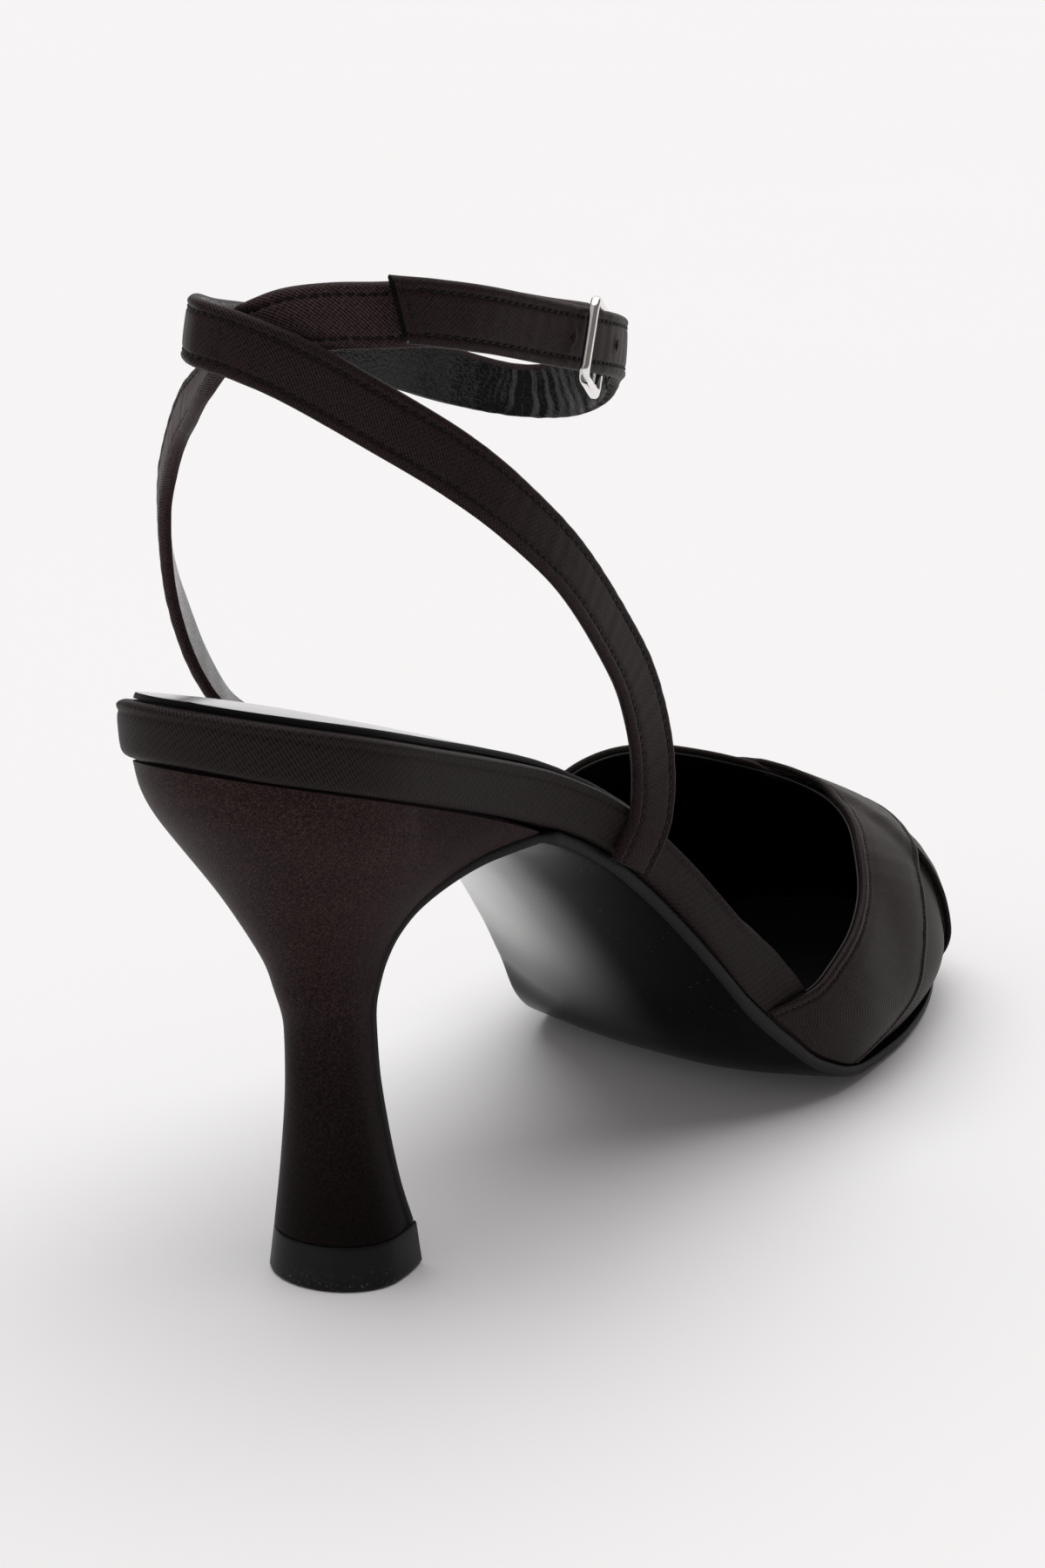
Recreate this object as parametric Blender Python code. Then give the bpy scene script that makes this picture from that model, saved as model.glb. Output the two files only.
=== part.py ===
"""Ankle-strap pump with a flared heel: the separate pieces of one right shoe.

Shoe coordinates are millimetres: x to the wearer's right, y from the back of the
seat to the toe, z up from the floor.  Every piece is drawn in them and set down
around the bottom centre of the finished shoe.
"""
import math

import bpy
import numpy as np

MM = 0.001

# Overall sizes
LENGTH = 231.0
ROW_CENTRE_X = -1.4
ROW_CENTRE_Y = 115.5
GAP = 0.3
VAMP_START = 127.4

# Sole unit
SOLE_THICK = 2.0
SOLE_FLAT_SHARE = 0.45
SEAT_BACK = 1.0
SEAT_RADIUS = 26.0
SEAT_FULLNESS = 2.15
TOE_START = 188.0
TOE_FULLNESS = 2.5
BREAST_TOP_Y = 69.0

# Footbed and its covered edge
RAND_FLARE = 1.0
RAND_ROUND = 1.6
SEAT_CROWN = 1.0
BOARD_LIFT = 0.15
TUCK_RUN = 23.0
SOCK_THICK = 0.9
SOCK_INSET = 1.5
SOCK_END_Y = 218.0
FOOTBED_TOE = LENGTH - 5.0

# Shares of the half width at which the bed is cut, and zones along it with the
# pitch of the sections in each.
BED_SHARES = (-1.0, -0.78, -0.45, 0.0, 0.45, 0.78, 1.0)
BED_ZONES = ((27.0, 60.0, 11.0), (60.0, 120.0, 6.0), (120.0, 138.0, 3.0), (138.0, 160.0, 5.5))
BED_ZONES += ((160.0, 190.0, 10.0),)

# Top piece under the heel
TOP_PIECE_HEIGHT = 7.3
TOP_PIECE_CHAMFER = 0.6

# Upper
WALL = 1.3
FEATHER_INSET = 1.7
FEATHER_LIFT = 0.25
TOE_INSET = 2.6
RIDGE_SHIFT = -6.0
TOE_BOX_START = 205.0
TOE_BOX_FULLNESS = 2.6
TUCK_SHARE = 0.28
BAND_GAP = 0.45
BAND_THICK = 1.2
BAND_STEP = 1.8
BAND_FLAT = 4.5
BAND_RAMP = 7.0

# Ankle straps and buckle
STRAP_WIDTH = 9.6
STRAP_THICK = 1.8
STRAP_EDGE_ROUND = 0.5
STRAP_PITCH = 5.4
TIP_SLANT = -2.2
BUCKLE_HEIGHT = 15.0
BUCKLE_SPAN = 10.0
BUCKLE_WIRE = 1.5
BUCKLE_DEPTH = 1.4
BUCKLE_CORNER = 1.6
BUCKLE_LIFT = 2.3
BUCKLE_SKEW = 12.0
BUCKLE_DROP = 0.4


class Table:
    """Short table of named columns, read between its rows on a smooth curve."""

    def __init__(self, columns, rows, rounded=False):
        data = np.array(rows, dtype=float)
        self.key = data[:, 0]
        self.columns = {}
        for index, name in enumerate(columns[1:], start=1):
            values = data[:, index]
            self.columns[name] = (values, self._slopes(self.key, values, rounded))

    @staticmethod
    def _slopes(key, values, rounded):
        step = np.diff(key)
        rate = np.diff(values) / step
        slopes = np.empty_like(values)
        slopes[0] = rate[0]
        slopes[-1] = rate[-1]
        for i in range(1, len(key) - 1):
            if not rounded and rate[i - 1] * rate[i] <= 0.0:
                slopes[i] = 0.0
                continue
            blend = (step[i] * rate[i - 1] + step[i - 1] * rate[i]) / (step[i] + step[i - 1])
            limit = 3.0 * min(abs(rate[i - 1]), abs(rate[i]))
            slopes[i] = blend if rounded else math.copysign(min(abs(blend), limit), blend)
        return slopes

    def __call__(self, name, at):
        values, slopes = self.columns[name]
        at = min(max(at, self.key[0]), self.key[-1])
        i = min(int(np.searchsorted(self.key, at, side="right")) - 1, len(self.key) - 2)
        span = self.key[i + 1] - self.key[i]
        t = (at - self.key[i]) / span
        rise = 2.0 * t ** 3 - 3.0 * t ** 2
        start = (t ** 3 - 2.0 * t ** 2 + t) * span * slopes[i]
        end = (t ** 3 - t ** 2) * span * slopes[i + 1]
        return (rise + 1.0) * values[i] - rise * values[i + 1] + start + end


# Feather line along the middle of the shoe, how far its edges rise, how far a
# section is turned to lie along the ball of the foot, and the rand's height.
BED = Table(("s", "z", "rise_right", "rise_left", "skew", "rand"), (
    (0.0, 91.4, 0.0, 0.0, 0.00, 8.6),
    (15.0, 86.9, 0.0, 0.0, 0.00, 8.6),
    (30.0, 82.0, 0.0, 0.0, 0.00, 8.6),
    (45.0, 76.8, 0.2, 0.2, 0.00, 8.6),
    (58.0, 71.9, 0.6, 0.6, 0.01, 8.6),
    (65.0, 69.0, 1.0, 1.2, 0.03, 8.5),
    (72.0, 65.8, 1.5, 2.2, 0.06, 8.2),
    (80.0, 61.6, 2.0, 3.4, 0.09, 7.8),
    (88.0, 56.4, 2.3, 4.4, 0.11, 7.5),
    (95.0, 50.9, 2.4, 5.0, 0.12, 7.4),
    (103.0, 43.9, 2.2, 5.4, 0.12, 7.3),
    (110.0, 37.2, 2.0, 5.5, 0.12, 7.2),
    (120.0, 27.0, 1.7, 5.4, 0.12, 7.0),
    (130.0, 16.0, 3.2, 5.4, 0.12, 6.4),
    (138.0, 9.0, 4.2, 3.4, 0.12, 5.2),
    (146.0, 4.6, 4.2, 2.0, 0.12, 4.0),
    (153.0, 2.8, 3.2, 1.1, 0.12, 3.2),
    (160.0, 2.3, 2.0, 0.7, 0.12, 3.2),
    (176.0, 2.3, 1.0, 0.7, 0.11, 3.2),
    (190.0, 2.9, 0.7, 0.6, 0.08, 3.0),
    (210.0, 4.8, 0.5, 0.5, 0.04, 2.8),
    (231.0, 7.6, 0.3, 0.3, 0.00, 2.6),
))

# Half widths of the sole's outline to either side, and its middle line.
OUTLINE = Table(("s", "right", "left", "middle"), (
    (0.0, 22.5, 22.5, 0.0),
    (30.0, 22.5, 22.5, 0.0),
    (50.0, 22.4, 22.4, 0.0),
    (66.0, 22.5, 22.5, 0.0),
    (80.0, 23.2, 22.6, 0.0),
    (95.0, 25.2, 23.6, 0.0),
    (110.0, 28.2, 25.8, 0.0),
    (125.0, 31.2, 28.6, 0.0),
    (140.0, 33.8, 31.8, -0.2),
    (155.0, 35.2, 34.4, -0.6),
    (168.0, 34.8, 35.6, -1.2),
    (182.0, 33.8, 35.0, -1.8),
    (198.0, 31.2, 32.2, -2.6),
    (214.0, 27.2, 28.0, -3.2),
    (231.0, 21.6, 22.4, -3.6),
))

# Heel, from the top piece up to the seat: each section's height, its share of the
# seat's slope, its back, where it is widest and its half width there.
HEEL = Table(("row", "z", "tilt", "back", "widest", "half"), (
    (0, 7.6, 0.00, 29.0, 38.0, 10.6),
    (1, 19.0, 0.00, 29.4, 36.8, 8.6),
    (2, 32.0, 0.00, 29.6, 35.8, 7.0),
    (3, 41.0, 0.00, 29.4, 35.4, 6.8),
    (4, 48.0, 0.05, 27.0, 35.0, 7.6),
    (5, 54.0, 0.25, 24.0, 34.2, 9.0),
    (6, 62.0, 0.75, 17.0, 32.6, 13.2),
    (7, 71.8, 1.00, 7.4, 30.0, 19.8),
    (8, 77.8, 1.00, 3.4, 28.6, 22.3),
    (9, 82.4, 1.00, 1.8, 27.5, 22.6),
))

# Outer face of the sole where it turns down the heel breast to the top piece.
BREAST = Table(("row", "y", "z", "half"), (
    (0, 65.6, 66.8, 22.0),
    (1, 61.4, 66.3, 20.2),
    (2, 55.6, 65.0, 17.2),
    (3, 50.4, 62.6, 14.2),
    (4, 46.4, 59.3, 11.2),
    (5, 43.9, 55.7, 9.1),
    (6, 42.3, 52.0, 7.8),
    (7, 41.6, 48.0, 6.8),
    (8, 41.2, 43.0, 6.2),
    (9, 41.8, 35.0, 6.2),
    (10, 42.9, 25.0, 7.0),
    (11, 44.3, 15.0, 8.3),
    (12, 46.0, 7.6, 9.6),
))

# Vamp over the foot: ridge height above the floor, swell of its sides and how
# square its section is.
VAMP = Table(("s", "ridge", "swell", "fullness"), (
    (128.0, 69.5, 2.4, 2.3),
    (140.0, 64.5, 4.2, 2.3),
    (152.0, 59.8, 5.2, 2.3),
    (165.0, 54.3, 5.6, 2.3),
    (178.0, 49.0, 5.8, 2.4),
    (190.0, 44.0, 5.4, 2.5),
    (202.0, 38.8, 4.6, 2.6),
    (214.0, 33.2, 3.8, 2.7),
    (231.0, 25.0, 3.0, 2.7),
))

# Edges across the vamp from the right feather (0) over the ridge to the left (1).
THROAT = Table(("v", "rim"), (
    (0.00, 127.6),
    (0.04, 134.6),
    (0.09, 143.4),
    (0.14, 152.2),
    (0.19, 161.2),
    (0.25, 170.0),
    (0.30, 176.4),
    (0.36, 182.0),
    (0.42, 184.4),
    (0.47, 183.6),
    (0.54, 176.8),
    (0.60, 167.0),
    (0.67, 158.4),
    (0.74, 151.0),
    (0.82, 145.4),
    (0.91, 139.4),
    (1.00, 133.0),
))
BAND_RIGHT = Table(("v", "rear", "front"), (
    (0.00, 127.6, 158.0),
    (0.04, 134.6, 173.0),
    (0.09, 143.4, 180.6),
    (0.14, 152.2, 186.0),
    (0.19, 161.2, 191.0),
    (0.25, 170.0, 198.0),
    (0.30, 176.4, 203.0),
    (0.36, 182.0, 207.4),
    (0.42, 184.4, 211.0),
    (0.47, 188.6, 213.8),
    (0.60, 199.0, 219.0),
    (0.80, 207.0, 222.8),
    (1.00, 211.0, 224.6),
))
BAND_LEFT = Table(("v", "rear", "front"), (
    (0.00, 209.0, 224.0),
    (0.13, 205.0, 222.0),
    (0.25, 200.0, 219.0),
    (0.36, 192.6, 215.6),
    (0.47, 183.6, 211.6),
    (0.54, 176.8, 207.0),
    (0.60, 167.0, 202.0),
    (0.67, 158.4, 196.4),
    (0.74, 151.0, 190.4),
    (0.82, 145.4, 184.0),
    (0.91, 139.4, 177.0),
    (1.00, 133.0, 166.0),
))

# Ankle straps, from the shank up: middle line, the way the outer face looks in
# plan and how far it leans back.
STRAP_RIGHT = Table(("row", "x", "y", "z", "facing", "lean"), (
    (0, 26.5, 84.0, 58.8, -12.0, 0.0),
    (1, 27.9, 88.0, 66.3, -14.0, 0.0),
    (2, 28.9, 86.7, 77.0, -12.0, 0.0),
    (3, 30.6, 79.4, 89.6, -6.0, 0.0),
    (4, 31.7, 70.3, 100.0, 2.0, 0.0),
    (5, 32.3, 55.3, 114.5, 6.0, 0.0),
    (6, 30.4, 41.8, 125.7, -5.0, 2.0),
    (7, 26.4, 32.4, 133.5, -27.0, 4.0),
    (8, 20.2, 23.4, 140.6, -52.0, 6.0),
    (9, 12.6, 12.8, 148.5, -74.0, 8.0),
    (10, 5.4, 9.0, 152.0, -97.0, 9.0),
    (11, -2.7, 10.1, 153.2, -125.0, 10.0),
    (12, -11.9, 21.5, 151.9, -146.0, 8.0),
    (13, -19.8, 36.7, 148.6, -154.0, 6.0),
    (14, -26.0, 54.0, 145.2, -166.0, 4.0),
    (15, -28.0, 68.0, 142.2, -182.0, 2.0),
    (16, -26.2, 79.7, 139.4, -202.0, 0.0),
    (17, -22.2, 89.2, 136.8, -220.0, 0.0),
    (18, -15.4, 96.9, 134.0, -236.0, 0.0),
    (19, -7.0, 102.0, 132.2, -256.0, 0.0),
    (20, 2.0, 102.6, 132.9, -278.0, 0.0),
    (21, 10.4, 99.4, 136.0, -300.0, 0.0),
    (22, 17.2, 93.6, 139.9, -322.0, 0.0),
    (23, 22.4, 86.6, 142.4, -340.0, 0.0),
    (24, 26.4, 78.6, 145.0, -353.0, 0.0),
    (25, 28.9, 69.4, 147.3, -364.0, 0.0),
    (26, 30.0, 55.0, 150.2, -374.0, 0.0),
    (27, 28.8, 37.5, 154.0, -388.0, 0.0),
    (28, 25.9, 28.2, 156.0, -401.0, 0.0),
    (29, 22.9, 23.1, 156.9, -410.0, 0.0),
), rounded=True)
STRAP_LEFT = Table(("row", "x", "y", "z", "facing", "lean"), (
    (0, -25.2, 72.0, 67.0, -166.0, -6.0),
    (1, -26.6, 62.0, 76.0, -158.0, -24.0),
    (2, -28.5, 52.2, 84.5, -150.0, -40.0),
    (3, -30.7, 47.5, 91.9, -152.0, -25.0),
    (4, -32.1, 44.3, 100.2, -151.0, -14.0),
    (5, -32.3, 40.9, 110.1, -144.0, -6.0),
    (6, -29.1, 36.2, 122.0, -140.5, 3.0),
    (7, -24.4, 32.2, 130.4, -139.5, 7.0),
    (8, -18.6, 27.8, 136.9, -145.0, 6.0),
    (9, -11.9, 23.0, 140.8, -142.0, 26.0),
    (10, -4.4, 17.4, 146.3, -122.0, 26.0),
    (11, 0.6, 13.6, 150.4, -96.0, 14.0),
    (12, 5.4, 13.0, 153.4, -82.0, 8.0),
    (13, 9.8, 14.9, 155.2, -68.0, 8.0),
    (14, 14.4, 18.8, 155.8, -56.0, 6.0),
    (15, 18.4, 23.8, 155.6, -47.0, 3.0),
    (16, 23.2, 31.2, 155.2, -38.0, 1.0),
    (17, 26.2, 40.4, 153.4, -26.0, 0.0),
    (18, 27.5, 55.4, 150.1, -14.0, 0.0),
    (19, 27.2, 63.0, 148.6, -8.0, 0.0),
    (20, 26.7, 68.0, 147.6, -4.0, 0.0),
), rounded=True)
BUCKLE_ROW = 25.2


def even(count, start=0.0, end=1.0):
    """Evenly spaced values including both ends."""
    return [start + (end - start) * i / (count - 1) for i in range(count)]


def eased(count, start, end):
    """Values that crowd together towards both ends."""
    return [start + (end - start) * 0.5 * (1.0 - math.cos(math.pi * t)) for t in even(count)]


def smooth(low, high, at):
    """Soft step from nought below low to one above high."""
    t = min(max((at - low) / (high - low), 0.0), 1.0)
    return t * t * (3.0 - 2.0 * t)


def closing(distance, reach, fullness):
    """Share of the width left at a distance into a rounded end."""
    share = min(max(distance / reach, 0.0), 1.0)
    return max(1.0 - share ** fullness, 0.0) ** (1.0 / fullness)


def end_round(s, toe=LENGTH):
    """Rounding of the outline at the seat and at the toe."""
    seat = closing(SEAT_BACK + SEAT_RADIUS - s, SEAT_RADIUS, SEAT_FULLNESS)
    return seat * closing(s - TOE_START, toe - TOE_START, TOE_FULLNESS)


def half_width(s, side, toe=LENGTH):
    """Half width of the sole's outline on one side, 1 right and -1 left."""
    name = "right" if side > 0 else "left"
    return OUTLINE(name, s) * end_round(s, toe)


def upright(s):
    """Height taken up by one millimetre of thickness on the sloping bed."""
    slope = (BED("z", s + 0.5) - BED("z", s - 0.5)) if 0.5 < s < LENGTH - 0.5 else 0.0
    return math.sqrt(1.0 + slope * slope)


def bed_point(s, x, height):
    """Point over the feather line, height measured square to the bed."""
    side = 1.0 if x >= 0.0 else -1.0
    name = "right" if side > 0 else "left"
    share = min(abs(x) / OUTLINE(name, s), 1.1)
    lift = max((share - SOLE_FLAT_SHARE) / (1.0 - SOLE_FLAT_SHARE), 0.0)
    z = BED("z", s) + (BED("rise_" + name, s) * lift * lift + height) * upright(s)
    return (OUTLINE("middle", s) + x, s - BED("skew", s) * x, z)


def material(name, colour, roughness, metallic=0.0):
    """One plain finish for one piece."""
    made = bpy.data.materials.new(name)
    made.use_nodes = True
    shader = made.node_tree.nodes["Principled BSDF"]
    shader.inputs["Base Color"].default_value = (*colour, 1.0)
    shader.inputs["Roughness"].default_value = roughness
    shader.inputs["Metallic"].default_value = metallic
    return made


def piece(name, points, faces, finish):
    """Mesh object from shoe coordinates."""
    mesh = bpy.data.meshes.new(name)
    placed = [((x - ROW_CENTRE_X) * MM, (y - ROW_CENTRE_Y) * MM, z * MM) for x, y, z in points]
    mesh.from_pydata(placed, [], faces)
    mesh.validate()
    mesh.materials.append(finish)
    made = bpy.data.objects.new(name, mesh)
    bpy.context.scene.collection.objects.link(made)
    return made


def loft(name, rings, finish):
    """Closed solid through rings of equal count, capped at both ends."""
    count = len(rings[0])
    points = [point for ring in rings for point in ring]
    faces = [tuple(range(count))]
    for i in range(len(rings) - 1):
        for j in range(count):
            near = i * count
            far = near + count
            k = (j + 1) % count
            faces.append((near + j, far + j, far + k, near + k))
    last = (len(rings) - 1) * count
    faces.append(tuple(last + j for j in reversed(range(count))))
    return piece(name, points, outward(points, faces), finish)


def outward(points, faces):
    """Faces turned so that the closed body they bound has a positive volume."""
    spots = np.array(points)
    volume = 0.0
    for face in faces:
        for j in range(1, len(face) - 1):
            a, b, c = spots[face[0]], spots[face[j]], spots[face[j + 1]]
            volume += float(np.dot(a, np.cross(b, c)))
    if volume < 0.0:
        return [tuple(reversed(face)) for face in faces]
    return faces


def bed_stations(start, end):
    """Places along the bed where the sole, the footbed and the sock are all cut."""
    places = [start]
    quarter = even(9, 0.0, math.pi / 2.0)
    places += [start + (BED_ZONES[0][0] - start) * (1.0 - math.cos(t)) for t in quarter[1:-1]]
    for low, high, pitch in BED_ZONES:
        places += even(int(round((high - low) / pitch)) + 1, low, high)[:-1]
    last = BED_ZONES[-1][1]
    places += [last + (end - last) * math.sin(t) for t in quarter]
    return places


def tucked(s, level):
    """How far the footbed's edge has gone in behind the vamp, at a level of the rand."""
    return smooth(VAMP_START - TUCK_RUN + 5.0 * level, VAMP_START - 1.0 + 6.0 * level, s)


def rand_width(s, side, level=0.0):
    """Half width of the covered footbed: proud at the waist, inside the vamp ahead."""
    proud = 0.4 + 0.4 * smooth(60.0, 80.0, s)
    inside = FEATHER_INSET + WALL + 2.0 * GAP
    hidden = tucked(s, level)
    away = proud * (1.0 - hidden) - inside * hidden
    return half_width(s, side, FOOTBED_TOE) + away * end_round(s, FOOTBED_TOE)


def seat_place(s, inset):
    """Place on the full outline that matches one on an outline set in at the seat."""
    if s > SEAT_BACK + SEAT_RADIUS:
        return s
    return SEAT_BACK + (s - SEAT_BACK - inset) * SEAT_RADIUS / (SEAT_RADIUS - inset)


def seat_crown(s, share):
    """Padded rise of the footbed's top, none at its edges, its back or under the vamp."""
    open_part = 1.0 - smooth(VAMP_START - 6.0, VAMP_START + 6.0, s)
    return SEAT_CROWN * (1.0 - share * share) * open_part * end_round(s) ** 2


def spread(point, amount):
    """Point moved outwards in plan, square to the rounded seat."""
    x, y, z = point
    behind = min(y - SEAT_BACK - SEAT_RADIUS, 0.0)
    away = math.hypot(x, behind)
    return (x + amount * x / away, y + amount * behind / away, z)


def footbed(finish):
    """Insole board and shank with the covered edge that shows as the rand."""
    rings = []
    for s in bed_stations(SEAT_BACK + 0.04, FOOTBED_TOE - 0.04):
        rand = BED("rand", s)
        lift = BOARD_LIFT + FEATHER_LIFT * tucked(s, 0.0)
        ring = [bed_point(s, -rand_width(s, -1.0), lift)]
        for share in BED_SHARES[1:-1]:
            ring.append(bed_point(s, share * half_width(s, share, FOOTBED_TOE), BOARD_LIFT))
        ring.append(bed_point(s, rand_width(s, 1.0), lift))
        rim = RAND_FLARE - RAND_ROUND * 0.7 * end_round(s, FOOTBED_TOE)
        levels = ((0.45, RAND_FLARE * 0.8), (1.0 - 0.6 * RAND_ROUND / rand, RAND_FLARE), (1.0, rim))
        for level, out in levels:
            place = bed_point(s, rand_width(s, 1.0, level), rand * level)
            ring.append(spread(place, out * (1.0 - tucked(s, level))))
        for share in reversed(BED_SHARES[1:-1]):
            ring.append(bed_point(s, share * rand_width(s, share, 1.0), rand + seat_crown(s, share)))
        for level, out in reversed(levels):
            place = bed_point(s, -rand_width(s, -1.0, level), rand * level)
            ring.append(spread(place, out * (1.0 - tucked(s, level))))
        rings.append(ring)
    return loft("footbed", rings, finish)


def insole_sock(finish):
    """Thin covered sock lying on the footbed from the seat to the toe."""
    rings = []
    for s in bed_stations(SEAT_BACK + SOCK_INSET + 0.04, SOCK_END_Y):
        at = seat_place(s, SOCK_INSET)
        low = []
        high = []
        for share in BED_SHARES:
            x = share * (rand_width(at, share, 1.0) - SOCK_INSET * end_round(at, FOOTBED_TOE))
            under = BED("rand", s) + seat_crown(s, share) + GAP + 0.3
            low.append(bed_point(s, x, under))
            high.append(bed_point(s, x * 0.985, under + SOCK_THICK))
        rings.append(low + high[::-1])
    return loft("insole_sock", rings, finish)


def outsole(finish):
    """Thin sole from the toe to the shank, turned down the heel breast as a flap."""
    places = [BREAST_TOP_Y]
    places += [s for s in bed_stations(0.0, LENGTH - 0.2) if s > BREAST_TOP_Y + 1.5]
    rings = []
    for s in reversed(places):
        low = [bed_point(s, share * (half_width(s, share) - 0.4), -GAP - SOLE_THICK) for share in BED_SHARES]
        low = [(x, y, max(z, 0.0)) for x, y, z in low]
        high = [bed_point(s, share * half_width(s, share), -GAP) for share in BED_SHARES]
        rings.append(low + high[::-1])
    floor = TOP_PIECE_HEIGHT + GAP
    for row in even(15, 0.0, 12.0):
        y, z, half = breast_face(row, 0.0)
        low = [(share * half * 0.97, y, max(z, floor)) for share in BED_SHARES]
        y, z, half = breast_face(row, SOLE_THICK)
        z = min(max(z, floor), BED("z", y) - 1.2 * GAP)
        high = [(share * half, y, z) for share in BED_SHARES]
        rings.append(low + high[::-1])
    return loft("outsole", rings, finish)


def breast_face(row, depth):
    """Point of the breast at a depth in from the sole's outer face, with its half width."""
    ahead = max(row - 0.3, 0.0)
    behind = min(row + 0.3, 12.0)
    along_y = BREAST("y", behind) - BREAST("y", ahead)
    along_z = BREAST("z", behind) - BREAST("z", ahead)
    size = math.hypot(along_y, along_z)
    y = BREAST("y", row) + along_z / size * depth
    z = BREAST("z", row) - along_y / size * depth
    return y, z, BREAST("half", row)


def heel_height(row, y):
    """Height of one heel section at a place along the shoe."""
    slope = BED("z", y) - BED("z", HEEL("widest", row))
    level = HEEL("z", row) + HEEL("tilt", row) * slope
    return min(level, BED("z", y) - GAP)


def heel_breast(row):
    """Where one heel section meets the back of the sole's flap, and its half width."""
    best = None
    for place in even(481, 0.0, 12.0):
        y, z, half = breast_face(place, SOLE_THICK + GAP)
        miss = abs(heel_height(row, y) - z)
        if best is None or miss < best[0]:
            best = (miss, y, half)
    return best[1], best[2]


def heel_ring(row, count_back=15, count_side=4, count_breast=5):
    """One section of the heel: rounded back, swept sides and a flat breast."""
    back, widest, half = (HEEL(name, row) for name in ("back", "widest", "half"))
    breast, breast_half = heel_breast(row)
    plan = []
    for t in even(count_back, 0.0, math.pi):
        plan.append((half * math.cos(t), widest - (widest - back) * math.sin(t)))
    for t in even(count_side + 1)[1:]:
        plan.append((-half + (half - breast_half) * t * t, widest + (breast - widest) * t))
    for t in even(count_breast, -1.0, 1.0)[1:]:
        plan.append((breast_half * t, breast))
    for t in even(count_side + 1)[1:-1]:
        t = 1.0 - t
        plan.append((half - (half - breast_half) * t * t, widest + (breast - widest) * t))
    return [(x, y, heel_height(row, y)) for x, y in plan]


def heel(finish):
    """Covered heel block, spooled in under the seat and flared to the top piece."""
    rings = [heel_ring(row) for row in even(21, 0.0, 9.0)]
    rings[-1] = [(x, y, BED("z", y) - GAP) for x, y, z in rings[-1]]
    return loft("heel", rings, finish)


def top_piece(finish):
    """Hard-wearing block that the heel stands on, level underneath."""
    plan = [(x, y) for x, y, z in heel_ring(0.0)]
    breast = BREAST("y", 12.0)
    widest = HEEL("widest", 0.0)
    flush = max(y for x, y in plan)
    whole = flush - widest
    rings = []
    for z, grow in ((0.0, 0.9 - TOP_PIECE_CHAMFER), (TOP_PIECE_CHAMFER, 0.9), (TOP_PIECE_HEIGHT, 0.05)):
        ring = []
        for x, y in plan:
            ahead = max(y - widest, 0.0) / whole
            scale = 1.0 + grow / HEEL("half", 0.0)
            along = (y - widest) * scale + ahead * (breast - flush)
            ring.append((x * scale, widest + along, z))
        rings.append(ring)
    return loft("top_piece", rings, finish)


def vamp_point(s, v, inset):
    """Point on the vamp: section s, share v across it, sunk inwards by inset."""
    side = 1.0 if v < 0.5 else -1.0
    angle = math.pi * v
    toe = LENGTH - TOE_INSET - inset
    round_off = end_round(s, toe)
    foot = half_width(s, side, toe) - (FEATHER_INSET + inset) * round_off
    swell = VAMP("swell", s) * round_off
    box = closing(s - TOE_BOX_START, toe - TOE_BOX_START, TOE_BOX_FULLNESS)
    feather = bed_point(s, side * foot, FEATHER_LIFT)[2]
    height = (VAMP("ridge", s) - inset - feather) * box
    ridge = RIDGE_SHIFT * round_off
    power = 2.0 / VAMP("fullness", s)
    across = abs(math.cos(angle)) ** power
    up = height * math.sin(angle) ** power if 0.0 < v < 1.0 else 0.0
    reach = foot + swell - side * ridge
    x = ridge + side * reach * across
    tuck = max(1.0 - up / max(TUCK_SHARE * height, 0.001), 0.0)
    x -= side * swell * tuck * tuck
    return (OUTLINE("middle", s) + x, s - BED("skew", s) * x, feather + up)


def shell(name, outer, inner, finish):
    """Closed solid between two grids of points, edges joined all round."""
    rows, columns = len(outer), len(outer[0])
    points = [point for grid in (outer, inner) for row in grid for point in row]
    shift = rows * columns
    faces = []
    for i in range(rows - 1):
        for j in range(columns - 1):
            a = i * columns + j
            quad = (a, a + columns, a + columns + 1, a + 1)
            faces.append(quad)
            faces.append(tuple(shift + k for k in reversed(quad)))
    rim = [j for j in range(columns)]
    rim += [i * columns + columns - 1 for i in range(1, rows)]
    rim += [(rows - 1) * columns + j for j in reversed(range(columns - 1))]
    rim += [i * columns for i in reversed(range(1, rows - 1))]
    for a, b in zip(rim, rim[1:] + rim[:1]):
        faces.append((a, b, shift + b, shift + a))
    return piece(name, points, outward(points, faces), finish)


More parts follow.
